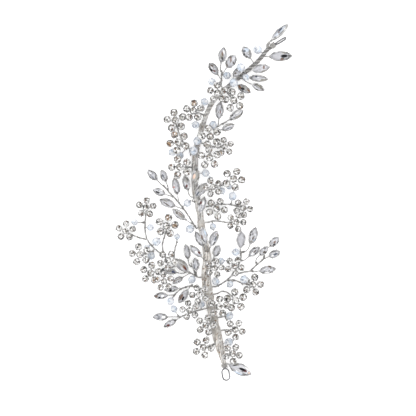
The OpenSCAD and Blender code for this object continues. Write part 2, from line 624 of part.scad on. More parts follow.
module flower_settings() {
    color("silver") for (i = [0:len(FLOWERS) - 1]) laid_flower(i) flower_setting(FLOWERS[i]);
}

module flower_stones() {
    color("ghostwhite") for (i = [0:len(FLOWERS) - 1])
        if (FLOWERS[i][SIZE] >= fine_share)
            laid_flower(i) at_petals(FLOWERS[i]) round_stone(FLOWERS[i][SIZE]);
}

// A bead, drilled along Z.
module bead(size) {
    r = size * bead_d / 2;
    bore_r = twig_d / 2 + bore_gap;
    rotate_extrude($fn = 32) difference() {
        circle(r, $fn = 48);
        translate([-r, -r]) square([r + bore_r, 2 * r]);
    }
}

module beads() {
    color("lightcyan") for (i = [0:len(BEADS) - 1])
        translate(middle(BEAD, i))
            rotate([0, 90, atan2(bead_bore(i).y, bead_bore(i).x)]) bead(BEADS[i][SIZE]);
}

// Ends of the stem: children are drawn with +X running out of the stem.
module at_stem_end(a, b) {
    out = plan(a) - plan(b);
    translate([a.x, a.y, a.z]) rotate([0, 0, atan2(out.y, out.x)]) children();
}
module at_foot() {
    at_stem_end(STEM_ROUTE[0], STEM_ROUTE[1]) children();
}
module at_top() {
    at_stem_end(STEM_ROUTE[len(STEM_ROUTE) - 1], STEM_ROUTE[len(STEM_ROUTE) - 2]) children();
}

module wire_bend(bend_r) {
    rotate_extrude(angle = 180, $fn = 48) translate([bend_r, 0]) circle(d = loop_wire_d, $fn = 24);
}

// A pin loop: an oval eye of round wire on a short neck.
module pin_loop(roll) {
    bend_r = (loop_inside_w + loop_wire_d) / 2;
    straight = loop_inside_l - loop_inside_w;
    near_x = neck_l + bend_r;
    color("silver") {
        translate([seat, 0, 0]) rotate([0, 90, 0]) cylinder(d = neck_d, h = neck_l, $fn = 24);
        rotate([roll, 0, 0]) {
            translate([near_x, 0, 0]) rotate(90) wire_bend(bend_r);
            translate([near_x + straight, 0, 0]) rotate(-90) wire_bend(bend_r);
            for (y = [-bend_r, bend_r])
                translate([near_x, y, 0])
                    rotate([0, 90, 0]) cylinder(d = loop_wire_d, h = straight, $fn = 24);
        }
    }
}

// The binding: a close coil over the stem's end and the neck.
module binding(end_r) {
    coil_r = max(end_r, neck_d / 2) + binding_gap + binding_d / 2;
    pitch = binding_d + seat;
    start = neck_l - binding_past - pitch * binding_turns;
    path = [
        for (k = [0:binding_turns * binding_steps])
            let (a = 360 * k / binding_steps)
            [start + pitch * k / binding_steps, coil_r * cos(a), coil_r * sin(a)],
    ];
    tube(path, [for (q = path) binding_d / 2], twig_sides);
}

module lower_pin_loop() {
    at_foot() pin_loop(0);
}

module upper_pin_loop() {
    at_top() pin_loop(upper_loop_roll);
}

module end_bindings() {
    color("silver") {
        at_foot() binding(STEM_ROUTE[0][3]);
        at_top() binding(STEM_ROUTE[len(STEM_ROUTE) - 1][3]);
    }
}

SPRAY_NODES = [
    for (k = [0:len(SPRAYS) - 1]) if (k == 0 || SPRAYS[k][0] != SPRAYS[k - 1][0]) SPRAYS[k][0],
];
STONE_NODES = [
    "small_leaf_stones",
    for (row = LEAVES) if (row[STONE] != "small_leaf_stones") row[STONE],
];

stem();
lower_pin_loop();
upper_pin_loop();
end_bindings();
leaf_settings();
flower_settings();
flower_stones();
beads();
for (name = SPRAY_NODES) spray(name);
for (name = STONE_NODES) leaf_stones(name);
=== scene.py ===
"""Looks of the bridal hair vine: stem strands, twisted side wires, leaves, flowers and beads."""

import logging
import math
import random
from dataclasses import dataclass, field
from enum import Enum

import bpy
import numpy as np
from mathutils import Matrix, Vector

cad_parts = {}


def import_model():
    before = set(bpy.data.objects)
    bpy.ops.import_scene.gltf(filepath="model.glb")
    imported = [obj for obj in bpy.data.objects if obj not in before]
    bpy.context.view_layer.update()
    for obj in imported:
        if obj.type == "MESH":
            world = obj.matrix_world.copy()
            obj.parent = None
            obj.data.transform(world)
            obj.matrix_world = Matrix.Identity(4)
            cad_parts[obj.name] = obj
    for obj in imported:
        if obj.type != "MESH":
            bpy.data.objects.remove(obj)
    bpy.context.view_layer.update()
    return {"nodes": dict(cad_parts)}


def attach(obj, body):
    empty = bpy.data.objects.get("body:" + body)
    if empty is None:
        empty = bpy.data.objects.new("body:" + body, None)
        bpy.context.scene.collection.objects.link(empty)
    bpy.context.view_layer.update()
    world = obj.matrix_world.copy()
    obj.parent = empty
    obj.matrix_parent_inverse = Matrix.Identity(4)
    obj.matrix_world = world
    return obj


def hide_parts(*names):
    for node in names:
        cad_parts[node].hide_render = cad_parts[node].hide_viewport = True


log = logging.getLogger("hair_vine")

MM = 0.001  # one millimetre in metres; every size below is in millimetres
Points = np.ndarray
Face = tuple[int, ...]
Colour = tuple[float, ...]
Stops = tuple[tuple[float, Colour], ...]
Socket = bpy.types.NodeSocket
Pieces = list[bpy.types.Object]
SAME_WAY = 0.9995  # the cosine above which two directions count as one
TINY = 1e-9  # the area in square millimetres below which a triangle is left out


# Places


@dataclass(frozen=True)
class Chart:
    """The layout chart: the photograph's own pixels, whose extent stands for the vine's size."""

    left: float = 116.0
    right: float = 293.0
    top: float = 23.5
    foot: float = 381.5
    vine_width: float = 98.0
    vine_length: float = 197.0

    def pixel(self) -> float:
        """Returns how many millimetres one pixel stands for."""
        return self.vine_width / (self.right - self.left)

    def place(self, u: float, v: float) -> Points:
        """Turns a reading of the chart into a point of the plan.

        Args:
            u: Pixels from the photograph's left edge.
            v: Pixels from its top edge.

        Returns:
            x and y in millimetres.
        """
        across = self.pixel()
        down = self.vine_length / (self.foot - self.top)
        return np.array(
            [(u - (self.left + self.right) / 2) * across, ((self.top + self.foot) / 2 - v) * down]
        )


CHART = Chart()


@dataclass(frozen=True)
class Place:
    """Where a piece lies: its origin and the three axes it is drawn along."""

    origin: Points
    along: Points
    side: Points
    up: Points

    def out(self, points: Points) -> Points:
        """Returns, in the vine's frame, points that are drawn along the piece's own axes."""
        return self.origin + points @ np.array([self.along, self.side, self.up])

    def at(self, x: float, y: float, z: float) -> "Place":
        """Returns a place with the same axes, its origin moved along them."""
        return Place(self.out(np.array([x, y, z])), self.along, self.side, self.up)

    def turned(self, angle: float) -> "Place":
        """Turns the place about its own upward axis.

        Args:
            angle: How far, in radians.

        Returns:
            The turned place.
        """
        c, s = math.cos(angle), math.sin(angle)
        along = c * self.along + s * self.side
        return Place(self.origin, along, np.cross(self.up, along), self.up)


def unit(v: Points) -> Points:
    """Returns a vector of length one with the same direction."""
    return v / np.linalg.norm(v)


def place_of(origin: Points, along: Points, up: Points) -> Place:
    """Builds a place from an origin, a direction and the way up.

    Args:
        origin: Where the piece's own zero lies.
        along: The piece's length; only its part square to up is used.
        up: The piece's own upward axis.

    Returns:
        The place, with axes square to one another.
    """
    up = unit(up)
    along = unit(along - (along @ up) * up)
    return Place(origin, along, np.cross(up, along), up)


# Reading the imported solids


@dataclass(frozen=True)
class Solid:
    """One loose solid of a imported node, in millimetres."""

    points: Points
    triangles: Points

    def corners(self) -> Points:
        """Returns the three corners of each triangle."""
        return self.points[self.triangles]

    def flats(self) -> tuple[Points, Points, Points]:
        """Measures the triangles.

        Returns:
            The middle, the normal and the area of each one that has an area.
        """
        a, b, c = (self.corners()[:, k] for k in range(3))
        cross = np.cross(b - a, c - a)
        area = np.linalg.norm(cross, axis=1) / 2
        kept = area > TINY
        return ((a + b + c) / 3)[kept], cross[kept] / (2 * area[kept, None]), area[kept]

    def middle(self) -> Points:
        """Returns the middle of the solid's box."""
        return (self.points.min(0) + self.points.max(0)) / 2


def loose_solids(node: bpy.types.Object) -> list[Solid]:
    """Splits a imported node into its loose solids.

    Args:
        node: The node's object, whose place is in its mesh.

    Returns:
        The solids, with the corners of neighbouring triangles shared.
    """
    mesh = node.data
    mesh.calc_loop_triangles()
    co = np.empty(len(mesh.vertices) * 3, np.float32)
    mesh.vertices.foreach_get("co", co)
    tri = np.empty(len(mesh.loop_triangles) * 3, np.int32)
    mesh.loop_triangles.foreach_get("vertices", tri)
    points = co.reshape(-1, 3).astype(float) / MM
    shared, index = np.unique(np.round(points, 3), axis=0, return_inverse=True)
    tri = index.reshape(-1)[tri.reshape(-1, 3)]
    label = np.arange(len(shared))
    while True:
        least = label[tri].min(1)
        fresh = label.copy()
        for k in range(3):
            np.minimum.at(fresh, tri[:, k], least)
        fresh = fresh[fresh]
        if (fresh == label).all():
            break
        label = fresh
    found = []
    for root in np.unique(label):
        members = np.flatnonzero(label == root)
        renumber = np.full(len(shared), -1)
        renumber[members] = np.arange(len(members))
        found.append(Solid(shared[members], renumber[tri[label[tri[:, 0]] == root]]))
    return found


def main_normal(solid: Solid) -> Points:
    """Finds the upward direction that most of a solid's flat faces share.

    Args:
        solid: A solid with a flat top, floor or rim.

    Returns:
        The direction, with an upward z.
    """
    _, normals, areas = solid.flats()
    normals = normals * np.where(normals[:, 2:] < 0, -1, 1)
    shared = [areas[normals @ normal > SAME_WAY].sum() for normal in normals]
    alike = normals @ normals[int(np.argmax(shared))] > SAME_WAY
    return unit((normals[alike] * areas[alike, None]).sum(0))


# Curves


def smooth(points: Points, steps: int) -> Points:
    """Runs a smooth curve through points.

    Args:
        points: Rows of a route.
        steps: Steps between two rows.

    Returns:
        The curve's points, with the route's own among them.
    """
    last = len(points) - 1
    found = []
    for i in range(last):
        a, b = points[max(i - 1, 0)], points[i]
        c, d = points[i + 1], points[min(i + 2, last)]
        for k in range(steps):
            t = k / steps
            part = 2 * b + (c - a) * t + (2 * a - 5 * b + 4 * c - d) * t * t
            found.append((part + (3 * b - a - 3 * c + d) * t**3) / 2)
    found.append(points[last])
    return np.array(found)


def bezier(a: Points, b: Points, c: Points, d: Points, steps: int) -> Points:
    """Returns the points of a four-point curve, with that many steps."""
    t = np.linspace(0, 1, steps + 1)[:, None]
    return (1 - t) ** 3 * a + 3 * t * (1 - t) ** 2 * b + 3 * t * t * (1 - t) * c + t**3 * d


def resampled(path: Points, step: float) -> Points:
    """Spaces a path's points evenly.

    Args:
        path: Rows whose first three columns are a point.
        step: Distance between two new points.

    Returns:
        The new rows, with every column carried along.
    """
    lengths = np.linalg.norm(np.diff(path[:, :3], axis=0), axis=1)
    run = np.concatenate([[0], np.cumsum(lengths)])
    count = max(2, int(round(run[-1] / step)) + 1)
    at = np.linspace(0, run[-1], count)
    return np.stack([np.interp(at, run, path[:, k]) for k in range(path.shape[1])], axis=1)


def frames(path: Points) -> tuple[Points, Points]:
    """Carries two square directions along a path without twist.

    Args:
        path: The path's points.

    Returns:
        The first and the second direction at each point.
    """
    tangent = np.gradient(path, axis=0)
    tangent /= np.linalg.norm(tangent, axis=1)[:, None]
    start = np.array([1.0, 0, 0]) if abs(tangent[0][2]) > 0.9 else np.array([0, 0, 1.0])
    first = np.empty_like(path)
    n = start
    for k, t in enumerate(tangent):
        n = n - (n @ t) * t
        n = n / math.sqrt(n @ n)
        first[k] = n
    return first, np.cross(tangent, first)


def spun(angles: Points, first: Points, second: Points) -> Points:
    """Returns, row by row, the direction at an angle from the first towards the second."""
    return np.cos(angles)[:, None] * first + np.sin(angles)[:, None] * second


# Finishes


def set_stops(ramp: bpy.types.Node, stops: Stops) -> None:
    """Sets the stops of a colour ramp.

    Args:
        ramp: The ramp's node.
        stops: Places from 0 to 1, each with its colour.
    """
    bar = ramp.color_ramp.elements
    while len(bar) < len(stops):
        bar.new(0.5)
    for element, (at, colour) in zip(bar, stops):
        element.position = at
        element.color = (*colour, 1.0)


class Nodes:
    """Short ways to wire up one material."""

    def __init__(self, name: str) -> None:
        """Starts a material with its surface shader.

        Args:
            name: The material's name.
        """
        self.material = bpy.data.materials.new(name)
        self.material.use_nodes = True
        self.tree = self.material.node_tree
        self.shader = self.tree.nodes["Principled BSDF"]

    def new(self, kind: str, **values: object) -> bpy.types.Node:
        """Adds a node.

        Args:
            kind: The kind of node.
            **values: Its own options.

        Returns:
            The node.
        """
        node = self.tree.nodes.new(kind)
        for key, value in values.items():
            setattr(node, key, value)
        return node

    def link(self, source: Socket, target: Socket) -> None:
        """Joins two sockets."""
        self.tree.links.new(source, target)

    def noise(self, scale: float, detail: float = 3.0) -> Socket:
        """Lays a noise through the piece, in the piece's own space.

        Args:
            scale: How fine it is, for a metre.
            detail: How many finer noises lie in it.

        Returns:
            Its value.
        """
        where = self.new("ShaderNodeTexCoord")
        node = self.new("ShaderNodeTexNoise")
        node.inputs["Scale"].default_value = scale
        node.inputs["Detail"].default_value = detail
        self.link(where.outputs["Object"], node.inputs["Vector"])
        return node.outputs["Fac"]

    def ramp(self, source: Socket, stops: Stops) -> Socket:
        """Turns a value into a colour.

        Args:
            source: The value.
            stops: Places from 0 to 1, each with its colour.

        Returns:
            The colour.
        """
        node = self.new("ShaderNodeValToRGB")
        set_stops(node, stops)
        self.link(source, node.inputs["Fac"])
        return node.outputs["Color"]

    def mix(self, share: Socket, a: Socket, b: Socket | Colour) -> Socket:
        """Blends two colours.

        Args:
            share: How much of the second shows.
            a: The first colour.
            b: The second, a socket or a plain colour.

        Returns:
            The blend.
        """
        node = self.new("ShaderNodeMix", data_type="RGBA")
        self.link(share, node.inputs["Factor"])
        self.link(a, node.inputs["A"])
        if isinstance(b, tuple):
            node.inputs["B"].default_value = (*b, 1.0)
        else:
            self.link(b, node.inputs["B"])
        return node.outputs["Result"]

    def multiply(self, a: Socket, b: Socket) -> Socket:
        """Darkens one colour by another.

        Args:
            a: The first colour.
            b: The second.

        Returns:
            The darker colour.
        """
        node = self.new("ShaderNodeMix", data_type="RGBA", blend_type="MULTIPLY")
        node.inputs["Factor"].default_value = 1.0
        self.link(a, node.inputs["A"])
        self.link(b, node.inputs["B"])
        return node.outputs["Result"]

    def span(self, source: Socket, low: float, high: float) -> Socket:
        """Stretches a value that runs from 0 to 1.

        Args:
            source: The value.
            low: What 0 becomes.
            high: What 1 becomes.

        Returns:
            The new value.
        """
        node = self.new("ShaderNodeMapRange")
        node.inputs["To Min"].default_value = low
        node.inputs["To Max"].default_value = high
        self.link(source, node.inputs["Value"])
        return node.outputs["Result"]

    def bump(self, height: Socket, strength: float, depth: float) -> None:
        """Gives the shader a relief.

        Args:
            height: How high the surface stands.
            strength: How much of the relief shows.
            depth: The height of its highest places, in metres.
        """
        node = self.new("ShaderNodeBump")
        node.inputs["Strength"].default_value = strength
        node.inputs["Distance"].default_value = depth
        self.link(height, node.inputs["Height"])
        self.link(node.outputs["Normal"], self.shader.inputs["Normal"])

    def attribute(self, name: str) -> Socket:
        """Returns the value that each face carries under that name."""
        return self.new("ShaderNodeAttribute", attribute_name=name).outputs["Fac"]

    def tint(self) -> Socket:
        """Returns the colour that each face carries."""
        return self.new("ShaderNodeAttribute", attribute_name="tint").outputs["Color"]

    def surface(self, values: dict[str, Socket | Colour | float]) -> None:
        """Sets the shader's own sockets.

        Args:
            values: For each socket, the one that feeds it or a value that is the same all over.
        """
        for name, value in values.items():
            if isinstance(value, Socket):
                self.link(value, self.shader.inputs[name])
            else:
                self.shader.inputs[name].default_value = value


@dataclass(frozen=True)
class Finish:
    """A finish whose material is made once and shared by many pieces."""

    name: str

    def wired(self) -> bpy.types.Material:
        """Returns a new material; each kind of finish wires up its own."""
        raise NotImplementedError(self.name)

    def material(self) -> bpy.types.Material:
        """Finds the finish's material, and makes it the first time.

        Returns:
            The material.
        """
        if self.name not in MADE:
            MADE[self.name] = self.wired()
        return MADE[self.name]


MADE: dict[str, bpy.types.Material] = {}  # the materials made so far, by their finish's name


@dataclass(frozen=True)
class MetalFinish(Finish):
    """Drawn or cast metal with drift in its tone, fine flecks and a light grain."""

    dark: Colour
    middle: Colour
    light: Colour
    fleck: Colour
    fleck_from: float = 0.66
    metallic: float = 1.0
    roughness: tuple[float, float] = (0.22, 0.4)
    drift_scale: float = 260.0
    drift_stops: tuple[float, float, float] = (0.3, 0.5, 0.72)
    fleck_scale: float = 900.0
    fleck_edge: float = 0.08
    grain: float = 0.35
    relief: float = 0.00004
    shade: float = 0.6

    def wired(self) -> bpy.types.Material:
        """Wires up the finish.

        Returns:
            The material.
        """
        n = Nodes(self.name)
        drift = n.noise(self.drift_scale)
        fleck = n.noise(self.fleck_scale, 2.0)
        drawn = n.ramp(drift, tuple(zip(self.drift_stops, (self.dark, self.middle, self.light))))
        # The face's tone scales the colour: random tones of strands, claws and wraps, the rims' painted
        # reflections, and painted light and shade on the stem.
        depth = n.ramp(n.attribute("tone"), ((0.0, (self.shade,) * 3), (1.0, (1.0,) * 3)))
        base = n.multiply(drawn, depth)
        full = self.fleck_from + self.fleck_edge
        edge = n.ramp(fleck, ((self.fleck_from, (0, 0, 0)), (full, (1, 1, 1))))
        n.surface(
            {
                "Base Color": n.mix(edge, base, self.fleck),
                "Roughness": n.span(drift, *self.roughness),
                "Metallic": self.metallic,
            }
        )
        n.bump(fleck, self.grain, self.relief)
        return n.material


class Accent(Enum):
    """The colours that single facets flash: painted reflections of the room in the glass."""

    INK = (0.006, 0.006, 0.009)
    NIGHT = (0.03, 0.045, 0.11)
    SLATE = (0.07, 0.085, 0.12)
    WINE = (0.1, 0.022, 0.02)
    UMBER = (0.17, 0.1, 0.07)
    RUST = (0.22, 0.115, 0.06)
    ROSE = (0.5, 0.2, 0.17)
    PEACH = (0.9, 0.66, 0.54)
    AMBER = (0.34, 0.2, 0.08)
    SMOKE = (0.1, 0.08, 0.065)
    OLIVE = (0.25, 0.235, 0.19)
    MIST = (0.5, 0.5, 0.53)
    SKY = (0.66, 0.78, 0.92)
    SNOW = (1.0, 1.0, 1.0)


@dataclass(frozen=True)
class StoneFinish(Finish):
    """Cut glass: each facet takes a tone of painted reflection and a faint cloud, and some flash a tint
    of painted reflection.
    """

    ramp: Stops
    metallic: float = 0.35
    roughness: tuple[float, float] = (0.16, 0.05)
    coat: float = 0.6
    gloss: float = 0.5
    tinted_gloss: float = 0.1
    coat_roughness: float = 0.03
    index: float = 1.54
    cloud_scale: float = 700.0
    cloud: Stops = ((0.35, (0.93, 0.94, 0.97)), (0.65, (1.0, 1.0, 1.0)))
    alpha: float = 1.0

    def wired(self) -> bpy.types.Material:
        """Wires up the finish.

        Returns:
            The material.
        """
        n = Nodes(self.name)
        # The facet's tone, its accent and its tint are painted reflections of the room in the glass.
        tone = n.attribute("tone")
        accent = n.attribute("accent")
        facet = n.ramp(tone, self.ramp)
        cloud = n.ramp(n.noise(self.cloud_scale, 2.0), self.cloud)
        n.surface(
            {
                "Base Color": n.mix(accent, n.multiply(facet, cloud), n.tint()),
                "Roughness": n.span(tone, *self.roughness),
                "Coat Weight": n.span(accent, self.coat, self.tinted_gloss),
                "Specular IOR Level": n.span(accent, self.gloss, self.tinted_gloss),
                "Metallic": self.metallic,
                "IOR": self.index,
                "Coat Roughness": self.coat_roughness,
                "Alpha": self.alpha,
            }
        )
        return n.material


WIRE = MetalFinish(
    "twisted_silver_wire", (0.36, 0.35, 0.335), (0.56, 0.55, 0.535), (0.76, 0.75, 0.74),
    (0.2, 0.17, 0.145), fleck_from=0.67, metallic=0.4, shade=0.42,
)
LOOP_WIRE = MetalFinish(
    "drawn_loop_wire", (0.1, 0.1, 0.105), (0.17, 0.17, 0.178), (0.36, 0.36, 0.375),
    (0.1, 0.1, 0.105), fleck_from=0.68, metallic=0.3, shade=1.0,
)
STEM_WIRE = MetalFinish(
    "stem_strands", (0.64, 0.595, 0.54), (0.86, 0.825, 0.78), (1.0, 0.985, 0.965),
    (0.25, 0.17, 0.115), fleck_from=0.58, metallic=0.1, roughness=(0.3, 0.5), drift_scale=420.0,
    fleck_scale=760.0, shade=0.38,
)
UPPER_STEM_WIRE = MetalFinish(
    "upper_stem_strands", (0.56, 0.545, 0.525), (0.8, 0.785, 0.765), (1.0, 0.995, 0.985),
    (0.3, 0.23, 0.18), fleck_from=0.61, metallic=0.1, roughness=(0.25, 0.45), drift_scale=420.0,
    fleck_scale=850.0, shade=0.24,
)
SETTING = MetalFinish(
    "soldered_silver", (0.54, 0.53, 0.52), (0.75, 0.745, 0.74), (0.96, 0.958, 0.955),
    (0.26, 0.225, 0.195), fleck_from=0.68, metallic=0.45, roughness=(0.14, 0.3), fleck_scale=1100.0,
    shade=0.28,
)
LEAF_GLASS = StoneFinish(
    "leaf_glass",
    (
        (0.0, (0.05, 0.048, 0.046)),
        (0.2, (0.2, 0.195, 0.19)),
        (0.5, (0.42, 0.42, 0.435)),
        (0.8, (0.58, 0.58, 0.605)),
        (1.0, (0.93, 0.935, 0.95)),
    ),
    metallic=0.2,
)
ROUND_GLASS = StoneFinish(
    "round_glass",
    (
        (0.0, (0.05, 0.036, 0.026)),
        (0.14, (0.15, 0.12, 0.095)),
        (0.3, (0.36, 0.33, 0.3)),
        (0.6, (0.68, 0.66, 0.63)),
        (1.0, (0.98, 0.98, 0.97)),
    ),
    metallic=0.15, coat=0.4,
)
BEAD_GLASS = StoneFinish(
    "bead_crystal",
    (
        (0.0, (0.2, 0.23, 0.28)),
        (0.3, (0.5, 0.54, 0.61)),
        (0.6, (0.84, 0.88, 0.94)),
        (1.0, (1.0, 1.0, 1.0)),
    ),
    metallic=0.0, roughness=(0.3, 0.16), coat=0.25, gloss=0.35, alpha=0.76,
)


# Meshes


def circle(radius: float, z: float, sides: int, start: float = 0.0) -> Points:
    """Returns a level ring of that many points, the first at an angle in radians."""
    a = start + np.linspace(0, math.tau, sides, endpoint=False)
    return np.stack([radius * np.cos(a), radius * np.sin(a), np.full(sides, z)], axis=1)


def wall_faces(rings: int, sides: int) -> list[Face]:
    """Joins rings of corners, one after another, by faces of four corners.

    Args:
        rings: How many rings.
        sides: Corners to a ring.

    Returns:
        The faces, ring by ring.
    """
    pairs = [(k, (k + 1) % sides) for k in range(sides)]
    starts = range(0, (rings - 1) * sides, sides)
    return [(a + k, a + m, a + sides + m, a + sides + k) for a in starts for k, m in pairs]


def in_scene(name: str, data: bpy.types.ID) -> bpy.types.Object:
    """Puts a mesh or a camera into the scene.

    Args:
        name: The object's name.
        data: What it holds.

    Returns:
        The object.
    """
    made = bpy.data.objects.new(name, data)
    bpy.context.scene.collection.objects.link(made)
    return made


@dataclass
class Draft:
    """A mesh in the making: points, faces, and each face's tone, accent, tint and shading."""

    points: list[Points] = field(default_factory=list)
    faces: list[Face] = field(default_factory=list)
    tones: list[float] = field(default_factory=list)
    accents: list[float] = field(default_factory=list)
    tints: list[Points] = field(default_factory=list)
    soft: list[bool] = field(default_factory=list)
    count: int = 0

    def add(
        self,
        points: Points,
        faces: list[Face],
        place: Place | None = None,
        tones: list[float] | None = None,
        accents: list[float] | None = None,
        tints: Points | None = None,
        soft: bool = True,
    ) -> None:
        """Adds points and the faces between them.

        Args:
            points: Rows of x, y and z.
            faces: Corners of each face, counted from these points' first.
            place: Where they lie, if they are drawn about an origin of their own.
            tones: From 0, dark, to 1, light, for each face.
            accents: From 0 to 1, how far each face takes its tint.
            tints: A colour for each face.
            soft: Whether the faces are shaded smooth.
        """
        self.points.append(points if place is None else place.out(points))
        self.faces.extend(tuple(self.count + i for i in f) for f in faces)
        self.tones.extend(tones if tones is not None else [0.5] * len(faces))
        self.accents.extend(accents if accents is not None else [0.0] * len(faces))
        self.tints.append(tints if tints is not None else np.full((len(faces), 3), 0.5))
        self.soft.extend([soft] * len(faces))
        self.count += len(points)

    def tube(
        self, path: Points, radii: Points | float, sides: int, tone: Points | float = 0.5
    ) -> None:
        """Adds a round tube along a path, closed at both ends.

        Args:
            path: The middle line.
            radii: The radius, or one for each point of the path.
            sides: Faces round the tube.
            tone: The tube's tone, or one for each point of the path.
        """
        first, second = frames(path)
        reach = np.broadcast_to(np.asarray(radii, float), (len(path),))
        turn = np.linspace(0, math.tau, sides, endpoint=False)
        c, s = np.cos(turn)[None, :, None], np.sin(turn)[None, :, None]
        ring = c * first[:, None] + s * second[:, None]
        points = (path[:, None] + reach[:, None, None] * ring).reshape(-1, 3)
        faces = wall_faces(len(path), sides)
        faces.append(tuple(range(sides - 1, -1, -1)))
        faces.append(tuple(len(points) - sides + k for k in range(sides)))
        shades = np.clip(np.broadcast_to(np.asarray(tone, float), (len(path),)), 0, 1)
        tones = [*np.repeat(shades[:-1], sides).tolist(), float(shades[0]), float(shades[-1])]
        self.add(points, faces, tones=tones)

    def wire(self, path: Points, thick: float, sides: int, tone: Points | float) -> None:
        """Adds a wire, lifted wherever it would sink into the floor.

        Args:
            path: The middle line.
            thick: The wire's diameter.
            sides: Faces round the wire.
            tone: The wire's tone, or one for each point of the path.
        """
        r = thick / 2
        lifted = np.column_stack([path[:, :2], np.maximum(path[:, 2], r)])
        self.tube(lifted, r, sides, tone)

    def rings(
        self,
        rings: list[Points],
        place: Place,
        close_foot: bool = True,
        close_top: bool = True,
        tones: Points | None = None,
    ) -> None:
        """Adds a wall through rings of as many points each.

        Args:
            rings: The rings, from the foot up and on over the rim.
            place: Where they lie.
            close_foot: Whether the first ring is filled.
            close_top: Whether the last ring is filled.
            tones: A row of tones for each band between two rings.
        """
        n = len(rings[0])
        faces = wall_faces(len(rings), n)
        shades = [0.5] * len(faces) if tones is None else tones.reshape(-1).tolist()
        if close_foot:
            faces.append(tuple(range(n - 1, -1, -1)))
        if close_top:
            faces.append(tuple((len(rings) - 1) * n + k for k in range(n)))
        self.add(np.concatenate(rings), faces, place, shades + [0.5] * (len(faces) - len(shades)))

    def piece(self, name: str, finish: Finish, slot: str, node: str) -> bpy.types.Object:
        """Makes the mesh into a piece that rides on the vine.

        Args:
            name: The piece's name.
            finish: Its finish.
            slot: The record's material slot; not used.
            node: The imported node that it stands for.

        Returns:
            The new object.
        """
        mesh = bpy.data.meshes.new(name)
        points = np.concatenate(self.points) * MM
        mesh.from_pydata(points.tolist(), [], self.faces)
        mesh.polygons.foreach_set("use_smooth", self.soft)
        for label, values in (("tone", self.tones), ("accent", self.accents)):
            mesh.attributes.new(label, "FLOAT", "FACE").data.foreach_set("value", values)
        tints = np.column_stack([np.concatenate(self.tints), np.ones(len(self.faces))])
        mesh.attributes.new("tint", "FLOAT_COLOR", "FACE").data.foreach_set("color", tints.reshape(-1))
        mesh.materials.append(finish.material())
        mesh.validate()
        mesh.update()
        made = in_scene(name, mesh)
        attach(made, "root")
        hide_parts(node)
        return made


# Cut stones


@dataclass(frozen=True)
class Spot:
    """An oval of the plan in which a stone's facets flash a colour: a painted reflection."""

    accent: Accent
    middle: tuple[float, float]
    long: float
    wide: float
    turn: float = 0.0
    share: float = 0.95
    reach: float = 1.2
    fade: float = 0.4

    @classmethod
    def charted(
        cls, accent: Accent, u: float, v: float, long: float, wide: float, turn: float, share: float
    ) -> "Spot":
        """Reads a spot off the chart.

        Args:
            accent: Its colour.
            u: Its middle, in pixels from the left.
            v: Its middle, in pixels from the top.
            long: Half its length in pixels.
            wide: Half its width in pixels.
            turn: The way that its length runs, in degrees anticlockwise.
            share: How far the colour covers the facet's own.

        Returns:
            The spot, in millimetres.
        """
        x, y = CHART.place(u, v)
        size = CHART.pixel()
        return cls(accent, (float(x), float(y)), long * size, wide * size, math.radians(turn), share)

    def shares(self, plan: Points) -> Points:
        """Returns how far the spot's colour covers each place.

        Args:
            plan: Rows of x and y.

        Returns:
            From 0 to 1 for each row, soft at the oval's edge.
        """
        away = plan - np.array(self.middle)
        c, s = math.cos(self.turn), math.sin(self.turn)
        far = np.hypot(away @ np.array([c, s]) / self.long, away @ np.array([-s, c]) / self.wide)
        return self.share * np.clip((self.reach - far) / self.fade, 0, 1)


def flashes(spots: tuple[Spot, ...], plan: Points) -> tuple[Points, Points]:
    """Lays spots over one another.

    Args:
        spots: The spots, the lowest first.
        plan: Rows of x and y.

    Returns:
        For each row, how far it is covered, and with which colour.
    """
    cover = np.zeros(len(plan))
    colour = np.zeros((len(plan), 3))
    for spot in spots:
        share = spot.shares(plan)
        colour = colour * (1 - share)[:, None] + share[:, None] * np.array(spot.accent.value)
        cover = cover * (1 - share) + share
    return cover, np.where(cover[:, None] > 0, colour / np.maximum(cover, 1e-6)[:, None], 0.5)


def quartered(corners: Points) -> Points:
    """Splits each triangle into four that lie in the same flat.

    Args:
        corners: The three corners of each triangle.

    Returns:
        The corners of the small triangles, in four runs as long as the first.
    """
    a, b, c = (corners[:, k] for k in range(3))
    ab, bc, ca = (a + b) / 2, (b + c) / 2, (c + a) / 2
    runs = ((a, ab, ca), (ab, b, bc), (ca, bc, c), (ab, bc, ca))
    return np.concatenate([np.stack(run, axis=1) for run in runs])


def fanned(faces: list[Face]) -> list[tuple[int, Face]]:
    """Returns triangles, each with the number of the face that it comes from and its corners."""
    return [(i, (f[0], f[k], f[k + 1])) for i, f in enumerate(faces) for k in range(1, len(f) - 1)]


def add_facets(
    draft: Draft, place: Place, corners: Points, tones: list[float], spots: tuple[Spot, ...], splits: int
) -> None:
    """Adds flat facets, split finely enough for spots of painted reflection to show on them.

    Args:
        draft: The mesh that takes them.
        place: Where they lie.
        corners: The three corners of each triangle.
        tones: A tone for each triangle.
        spots: The spots where they flash a colour.
        splits: How many times each triangle is split into four.
    """
    for _ in range(splits):
        corners = quartered(corners)
    cover, tints = flashes(spots, place.out(corners.mean(1))[:, :2])
    shared, index = np.unique(np.round(corners.reshape(-1, 3), 5), axis=0, return_inverse=True)
    faces = [tuple(f) for f in index.reshape(-1, 3).tolist()]
    draft.add(shared, faces, place, tones * 4**splits, cover.tolist(), tints, soft=False)


Chance = tuple[float, float, float]  # the lowest and the highest tone, and how often it is dark


@dataclass(frozen=True)
class FacetReflections:
    """The chances of the painted reflection tones in each ring of facets, from the table's middle
    outwards: how light or dark the room looks in each.
    """

    heart: Chance
    table: Chance
    star: Chance
    kite: Chance
    edge: Chance


